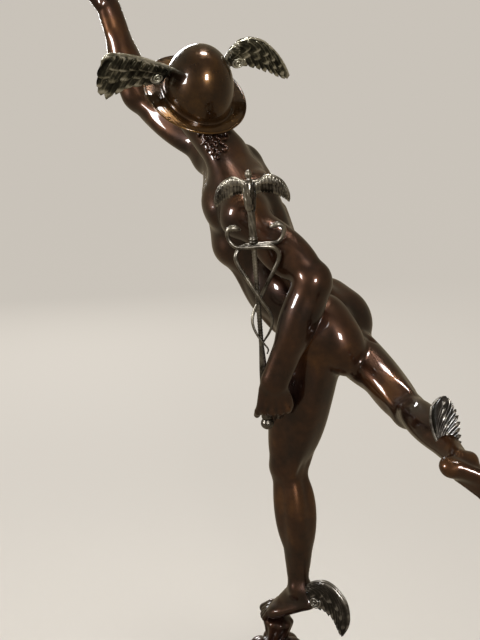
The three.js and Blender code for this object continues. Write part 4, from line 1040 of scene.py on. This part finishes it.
def staffRod(bm):
    radii, heights = np.array(staffLook["rows"], float).T
    levels = sorted(set(np.arange(0, heights[-1], staffLook["step"])) | set(heights))
    twistLow, twistHigh, twistDeep, twistTurn = staffLook["twist"]
    ringLow, ringHigh, ringDeep, ringTurn = staffLook["rings"]
    rings = []
    for height in levels:
        radius = np.interp(height, heights, radii)
        ring = []
        for turn in turnsOf(staffLook["sides"]):
            swell = 1.0
            if twistLow < height < twistHigh:
                swell += twistDeep * math.cos(6 * turn + height * twistTurn)
            elif ringLow < height < ringHigh:
                swell += ringDeep * math.cos(height * ringTurn) * math.cos(2 * turn)
            ring.append((radius * math.cos(turn) * swell, radius * math.sin(turn) * swell,
                         height))
        rings.append(ring)
    loft(bm, rings)


def staffLeaves(bm):
    # two rings of pointed leaves under the wings
    for count, wide, low, high, reach in staffLook["leaves"]:
        for i in range(count):
            turn = 2 * math.pi * (i + 0.5 * (count % 2)) / count

            def placeOf(u, v, face):
                half = wide / 2 * math.sin(math.pi * min(1, 0.28 + 0.72 * v)) ** 0.7
                # from the rod's side outward, with the tip turned out
                out = mixOf(3.9, reach, v ** 0.8) + 1.8 * max(0, v - 0.8)
                body = min(1, v / 0.1) * min(1, (1 - v) / 0.1)
                crest = 0.8 * (1 - u * u) + 0.5 * max(0, 1 - abs(u) / 0.34)
                out += (crest if face > 0 else -0.3 * (1 - u * u)) * body - 0.9 * u * u
                side = u * half
                return (out * math.cos(turn) - side * math.sin(turn),
                        out * math.sin(turn) + side * math.cos(turn), mixOf(low, high, v))

            plate(bm, 6, 9, placeOf)


snakeLook = {
    # from the head, beside the rod's collar, down to the tail: across, out and height in mm
    "bends": [
        (15, -1, 231), (21, -1, 233.5), (27, -1, 233), (29.5, -1, 228), (27.5, -2, 220),
        (21, -4, 214), (8, -4.6, 213), (-6, -4.6, 213), (-17, -4, 211), (-22.5, -1, 204),
        (-22, 0, 196), (-15, 1.5, 182), (-7.5, 3.5, 168), (0, 4.2, 154), (7, 3.5, 142),
        (10.5, 1, 132), (10, -1, 123), (6, -3, 113), (0, -4.2, 104), (-4, -3.4, 97),
        (-2.5, -1, 91),
    ],
    # share of the length and radius in mm
    "body": [(0, 0.7), (0.008, 1.7), (0.022, 2.9), (0.045, 3.5), (0.07, 2.7), (0.11, 2.1),
             (0.3, 2.5), (0.7, 2), (1, 0.8)],
    "points": 130, "sides": 12, "middle": 3,
    "eyeAt": 4, "eyeOut": 2.4, "eyeUp": 1.6, "eye": 0.9,
}


def snake(bm, side):
    look = snakeLook
    places = [(side * across + look["middle"], -side * out, height)
              for across, out, height in look["bends"]]
    line = smoothLine(places, look["points"])
    radii = np.interp(np.linspace(0, 1, len(line)), *np.array(look["body"], float).T)
    tubeAlong(bm, line, radii, look["sides"])
    for eye in (1, -1):
        spot = line[look["eyeAt"]] + np.array([0, eye * look["eyeOut"], look["eyeUp"]])
        bmesh.ops.create_uvsphere(bm, u_segments=8, v_segments=6, radius=look["eye"],
                                  matrix=Matrix.Translation(spot))


staffWingLook = {
    "edge": [(0, 6), (9, 7), (17.5, 11.5), (26, 9.5), (34, 3), (39, -8), (40, -16)],
    "tips": [(0, -8), (9, -6), (19, -6.5), (26, -9.5), (32, -13), (36, -16), (39, -19)],
    "rows": [(13, 0.02, 1, 0.12, 1.04, 1.5, 0.15, 1), (12, 0, 0.95, 0.04, 0.5, 1.6, 0.7, 0.6)],
    "curls": [], "thick": 4.4, "bend": 0.002, "sweep": 0.3, "grain": (4, 8), "seed": 7,
}


def caduceusPiece():
    bm = bmesh.new()
    staffRod(bm)
    staffLeaves(bm)
    snake(bm, 1)
    snake(bm, -1)
    place = Matrix(np.column_stack([staffSide, -staffOut, staffUp])).to_4x4()
    closed(bm, Matrix.Translation(staffButt) @ place @ Matrix.Scale(0.001, 4))
    for side in (1, -1):
        root = staffButt + (staffSide * (2 - side) + staffUp * 274.5) / 1000
        place = flatPlace(root, staffSide * side, staffUp, side < 0)
        spare = meshOf("wing", closed(wingMesh(staffWingLook), place))
        bm.from_mesh(spare)
        bpy.data.meshes.remove(spare)
    newPiece("snake_staff", bm, rubbedGreyBronze, "grey_bronze", "caduceus")


def mountShapes():
    # a stem of upright strands, widest under the foot, out of three rings of puffs
    shapes = [
        oval(upright, (-3, 0, -18), (26, 29, 13), 8),
        rod((-4, 3, -26), (0, 0, -58), 22, 15, 10),
        rod((0, 0, -58), (0, 0, -120), 16, 30, 12),
    ]
    for angle in turnsOf(9):
        low = angle - 0.5
        start = (-3 + 20 * math.cos(angle), 2 + 22 * math.sin(angle), -18)
        end = (14 * math.cos(low), 14 * math.sin(low), -60)
        shapes.append(rod(start, end, 8, 5.5, 3))
    for count, radius, height, puff, lift in [
        (6, 31, -71, 19, 0.85), (8, 47, -94, 21, 0.85), (10, 62, -116, 24, 0.9),
    ]:
        for angle in turnsOf(count) + height:
            swell = puff * (1 + 0.14 * math.sin(5 * angle + height))
            up = height + 4 * math.cos(3 * angle)
            centre = (radius * math.cos(angle), radius * math.sin(angle), up)
            shapes.append(oval(upright, centre, (swell, swell, swell * lift), 5))
    return shapes


# In metres: the mesh's grain, and where the clouds end just above the plinth's top
mountLook = {"voxel": 0.0019, "smooth": 0.3, "foot": 0.0243}


def mountPiece():
    bm = skinOf("cloud_mount", mountLook["voxel"])
    settle(bm, mountShapes())
    for vert in bm.verts:
        vert.co.z = max(vert.co.z, mountLook["foot"])
    softened(bm, mountLook["smooth"])
    newPiece("bronze_clouds", bm, baseBronze, "dark_base_bronze", "cloud_mount")


plinthLook = {
    "sides": 160,
    # radius and height in mm
    "rows": [(1, 24), (86, 24), (88.6, 23.6), (89.6, 22.6), (90, 21.4), (90, 19.4),
             (90.3, 18.7), (91, 18.3), (92.2, 17.2), (93.4, 15.4), (94.8, 13.9),
             (96.6, 12.8), (98.8, 12.2), (99.6, 11.9), (99.9, 11.3), (100.2, 10.9),
             (102, 10.6), (103.2, 9.7),
             (103.8, 8.4), (104, 6.8), (104, 2), (103.7, 0.9), (103, 0.2), (102.4, 0), (1, 0)],
}


def plinthPiece():
    bm = bmesh.new()
    loft(bm, [ringOf(plinthLook["sides"], radius, radius, height)
              for radius, height in plinthLook["rows"]])
    closed(bm, Matrix.Scale(0.001, 4))
    newPiece("round_plinth", bm, baseBronze, "dark_base_bronze", "plinth")


helmetPiece()
wingPieces()
caduceusPiece()
mountPiece()
plinthPiece()

# The camera stands behind and to the left of the figure, about level with its head
camera = {"place": (0.896, 0.573, 0.7156), "azimuth": 125, "elevation": 12, "lens": 53.16,
          "sensor": 36, "nearest": 0.05, "furthest": 20}


def setCamera():
    data = bpy.data.cameras.new("camera")
    data.sensor_width = camera["sensor"]
    data.lens = camera["lens"]
    data.clip_start, data.clip_end = camera["nearest"], camera["furthest"]
    holder = newObject("camera", data)
    turn, rise = math.radians(camera["azimuth"]), math.radians(camera["elevation"])
    back = Vector((math.sin(turn) * math.cos(rise), -math.cos(turn) * math.cos(rise),
                   math.sin(rise)))
    holder.location = camera["place"]
    holder.rotation_mode = "QUATERNION"
    holder.rotation_quaternion = (-back).to_track_quat("-Z", "Y")
    bpy.context.scene.camera = holder


# Place, target and size in metres, watts, and the spread in degrees where it is narrow
lights = {
    "window": ((1.85, -1.3, 1.15), (0, 0, 0.6), (0.5, 0.65), 36),
    "near": ((1.9, 1.7, 1.25), (0, 0, 0.5), (0.45, 0.6), 48),
    "top": ((0.15, -0.1, 2.9), (0.02, -0.17, 0.7), (0.8, 0.4), 1.6, 24),
    "front": ((-1.5, -1.9, 1.3), (0, 0, 0.5), (0.8, 0.8), 32),
}


def softLight(name, place, target, size, watts, spread=180):
    data = bpy.data.lights.new(name, "AREA")
    data.shape = "RECTANGLE"
    data.size, data.size_y = size
    data.energy = watts
    data.spread = math.radians(spread)
    light = newObject(name, data)
    light.location = place
    light.rotation_mode = "QUATERNION"
    away = Vector(place) - Vector(target)
    light.rotation_quaternion = away.to_track_quat("Z", "Y")


# In metres, the bend's radius and the wall's top
stage = {"bend": 3.5, "wall": 9, "bendRows": 12, "around": 96, "paper": "#54504A",
         "shine": "#D9D3CA", "glow": 0.76, "world": "#9A8C74", "strength": 0.7}


def setStage():
    # a round paper sweep: floor, bend and wall in one. It isn't mirrored in the bronze
    bm = bmesh.new()
    bend = stage["bend"]
    turns = [math.pi / 2 * i / stage["bendRows"] for i in range(stage["bendRows"] + 1)]
    rings = [(0.01, 0), *((bend * (1 + math.sin(a)), bend * (1 - math.cos(a))) for a in turns),
             (2 * bend, stage["wall"])]
    verts = [bm.verts.new((radius, 0, height)) for radius, height in rings]
    edges = [bm.edges.new(pair) for pair in zip(verts, verts[1:])]
    bmesh.ops.spin(bm, geom=verts + edges, axis=(0, 0, 1), cent=(0, 0, 0),
                   steps=stage["around"], angle=2 * math.pi, use_merge=True)
    bmesh.ops.recalc_face_normals(bm, faces=bm.faces)
    paper = bpy.data.materials.new("pale paper")
    paper.use_nodes = True
    shader = paper.node_tree.nodes["Principled BSDF"]
    shader.inputs["Base Color"].default_value = linear(stage["paper"])
    shader.inputs["Roughness"].default_value = 0.9
    shader.inputs["Emission Color"].default_value = linear(stage["shine"])
    shader.inputs["Emission Strength"].default_value = stage["glow"]
    sweep = smoothObject("paper_sweep", bm, paper)
    sweep.visible_glossy = False
    world = bpy.data.worlds.new("studio")
    world.use_nodes = True
    background = world.node_tree.nodes["Background"]
    background.inputs["Color"].default_value = linear(stage["world"])
    background.inputs["Strength"].default_value = stage["strength"]
    bpy.context.scene.world = world


setCamera()
setStage()
for name, look in lights.items():
    softLight(name, *look)
bpy.context.scene.view_settings.view_transform = "Standard"
